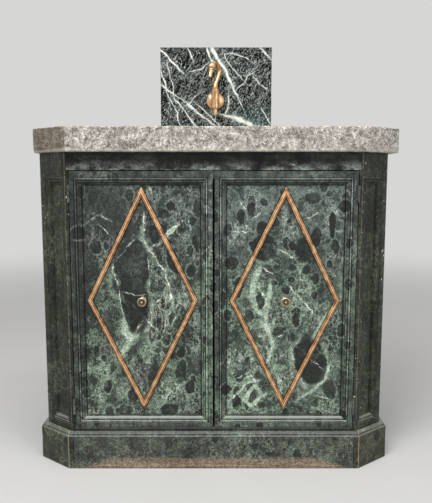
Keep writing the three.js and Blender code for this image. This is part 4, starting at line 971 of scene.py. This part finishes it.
def diamond_bar(name, middle_x):
    """The lozenge: a four-sided face, set in step by step to a rounded bar with an open middle."""
    half_x, half_z = 139.2, 286.9
    piece = circle(name, 4, 1)
    bpy.ops.transform.resize(value=(half_x * MM, half_z * MM, 1), center_override=(0, 0, 0))
    for inward, upward in BAR_STEPS:
        bpy.ops.mesh.inset(thickness=inward * MM, depth=upward * MM, use_even_offset=True)
    bpy.ops.mesh.delete(type="ONLY_FACE")
    bridge_open_rims()
    close_edit()
    piece.rotation_euler = (math.radians(90), 0, 0)
    piece.location = Vector((middle_x, BAR_FOOT, LOZENGE_MIDDLE)) * MM
    settle(piece)
    smooth(piece, 50)
    return piece


def stone_slab():
    """The slab: broken into small faces, its skin and arrises worn uneven."""
    piece = merged_copy("stone_top", "stone_slab")
    apply(piece, "REMESH", mode="VOXEL", voxel_size=3.6 * MM, adaptivity=0)
    worn = bpy.data.textures.new("worn_skin", "CLOUDS")
    worn.noise_scale = 0.02
    worn.noise_depth = 3
    pitted = bpy.data.textures.new("pitted_skin", "VORONOI")
    pitted.noise_scale = 0.012
    for skin, depth in ((worn, 1.6), (pitted, 1.5)):
        apply(piece, "DISPLACE", texture=skin, strength=depth * MM, mid_level=1.0, texture_coords="LOCAL")
    smooth(piece, 60)
    return piece


def member(node, ease):
    """A wooden or metal part of plain shape, its arrises eased by hand."""
    piece = merged_copy(node, node + "_eased")
    apply(piece, "BEVEL", width=ease * MM, segments=1 if node.startswith("hinge") else 2,
          limit_method="ANGLE", angle_limit=math.radians(40))
    smooth(piece, 32)
    apply(piece, "WEIGHTED_NORMAL", keep_sharp=True, weight=90)
    hand_over(piece, node)


def swan_spout():
    """Plug, neck, head and beak, one smooth casting."""
    piece = merged_copy("tap_spout", "tap_spout_cast")
    apply(piece, "REMESH", mode="VOXEL", voxel_size=0.5 * MM, adaptivity=0)
    apply(piece, "SMOOTH", factor=0.6, iterations=9)
    smooth(piece, 60)
    return piece


HEAD_MIDDLE = Vector((-11.7, 133.6, 1078.5))
HEAD_TURN = math.radians(40)
EYE_PLACE = (10.3, 4.2, 2.2)
EYE_FACING = (1, 0.25, 0.16)


def swan_eye(name, side):
    """A small ringed eye on one side of the swan's head; side is 1 or -1. Its place and the way it
    faces are given outward, ahead and up from the middle of the head."""
    outward = Vector((math.cos(HEAD_TURN), -math.sin(HEAD_TURN), 0)) * side
    ahead = Vector((-math.sin(HEAD_TURN), -math.cos(HEAD_TURN), 0))
    up = Vector((0, 0, 1))

    def from_head(parts):
        return parts[0] * outward + parts[1] * ahead + parts[2] * up

    eye = turned(name, 20, EYE_RINGS, (0, 0, 0), "Z")
    eye.rotation_euler = from_head(EYE_FACING).normalized().to_track_quat("Z", "Y").to_euler()
    eye.location = (HEAD_MIDDLE + from_head(EYE_PLACE)) * MM
    settle(eye)
    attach(eye, "spout")
    eye.data.materials.append(brass)


for side, way in (("left", -1), ("right", 1)):
    knob_middle = (BODY_MIDDLE + way * KNOB_OFFSET, 0, LOZENGE_MIDDLE)
    knob = turned("knob_" + side + "_turned", 48, KNOB_RINGS, knob_middle, "-Y")
    hand_over(knob, "knob_" + side)
    bar = diamond_bar("lozenge_" + side + "_bar", BODY_MIDDLE + way * DOOR_OFFSET)
    hand_over(bar, "lozenge_" + side)

rosette = turned("tap_rosette_turned", 72, ROSETTE_RINGS, ROSETTE_PLACE, "-Y")
hand_over(rosette, "tap_rosette")
collar = turned("tap_collar_turned", 56, COLLAR_RINGS, COLLAR_PLACE, "Z", bored=True)
hand_over(collar, "tap_collar")
hand_over(stone_slab(), "stone_top")
for node in list(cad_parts):
    ease = dress_of(node)[2]
    if ease:
        member(node, ease)
hand_over(swan_spout(), "tap_spout")
swan_eye("swan_eye_right", 1)
swan_eye("swan_eye_left", -1)


# Camera, floor and lights


BACKDROP = linear((214, 214, 213))
PICTURE_HEIGHT = 503
FOCAL_LENGTH = 584
CAMERA_PLACE = (-0.0002, -1.6724, 0.734)
CAMERA_DOWN = 6.785
SENSOR_WIDTH = 36
FLOOR_SIZE = 24
FLOOR_FADE = (1.2, 5.0)
SOFT_LIGHT = (0.9, 0.9, 0.9, 1)
SOFT_STRENGTH = 0.42


def add_camera():
    """The camera of the photograph. Its lens is given in picture points."""
    level = 90
    bpy.ops.object.camera_add(location=CAMERA_PLACE, rotation=(math.radians(level - CAMERA_DOWN), 0, 0))
    camera = bpy.context.object
    camera.data.sensor_width = SENSOR_WIDTH
    camera.data.lens = FOCAL_LENGTH / PICTURE_HEIGHT * SENSOR_WIDTH
    bpy.context.scene.camera = camera


def add_floor():
    """A pale floor that fades into the backdrop."""
    bpy.ops.object.select_all(action="DESELECT")
    bpy.ops.mesh.primitive_plane_add(size=FLOOR_SIZE, location=(0, 0, 0))
    floor = bpy.context.object
    floor.name = "floor"
    finish = Finish("pale_floor")
    grain = finish.noise(finish.place, 3, 4, 0.6)
    finish.colour = finish.mix(grain, (206, 205, 203), (212, 211, 209))
    finish.done(Roughness=0.8, Specular_IOR_Level=0.2)
    far = finish.span(finish.vector("LENGTH", finish.place), *FLOOR_FADE)
    glow = finish.node("ShaderNodeEmission", {"Color": BACKDROP, "Strength": 1.0}).outputs[0]
    blend = finish.node("ShaderNodeMixShader", {0: far, 1: finish.shader.outputs[0], 2: glow})
    finish.wire(finish.output.inputs["Surface"], blend.outputs[0])
    floor.data.materials.append(finish.material)


def add_area_light(name, location, target, size, power):
    bpy.ops.object.light_add(type="AREA", location=location)
    lamp = bpy.context.object
    lamp.name = name
    lamp.data.shape = "RECTANGLE"
    lamp.data.size, lamp.data.size_y = size
    lamp.data.energy = power
    lamp.rotation_euler = (Vector(target) - Vector(location)).to_track_quat("-Z", "Y").to_euler()


def add_world():
    """A soft grey light, while the eye, mirrors and glass see the backdrop."""
    world = bpy.data.worlds.new("studio")
    bpy.context.scene.world = world
    world.use_nodes = True
    tree = world.node_tree
    soft = tree.nodes["Background"]
    soft.inputs["Color"].default_value = SOFT_LIGHT
    soft.inputs["Strength"].default_value = SOFT_STRENGTH
    seen = tree.nodes.new("ShaderNodeBackground")
    seen.inputs["Color"].default_value = BACKDROP
    rays = tree.nodes.new("ShaderNodeLightPath").outputs
    shown = rays["Is Camera Ray"]
    for ray in ("Is Glossy Ray", "Is Transmission Ray"):
        either = tree.nodes.new("ShaderNodeMath")
        either.operation = "MAXIMUM"
        tree.links.new(shown, either.inputs[0])
        tree.links.new(rays[ray], either.inputs[1])
        shown = either.outputs[0]
    mix = tree.nodes.new("ShaderNodeMixShader")
    tree.links.new(shown, mix.inputs[0])
    tree.links.new(soft.outputs[0], mix.inputs[1])
    tree.links.new(seen.outputs[0], mix.inputs[2])
    tree.links.new(mix.outputs[0], tree.nodes["World Output"].inputs["Surface"])


add_camera()
add_floor()
add_world()
add_area_light("key", (-1.1, -1.9, 3.0), (0, -0.1, 0.5), (1.6, 1.2), 58)
add_area_light("fill", (2.2, -2.4, 1.8), (0, 0, 0.5), (1.8, 1.8), 22)
add_area_light("top", (0.1, -1.0, 3.2), (0, -0.2, 0.5), (2.0, 0.8), 40)
bpy.context.scene.view_settings.view_transform = "Standard"
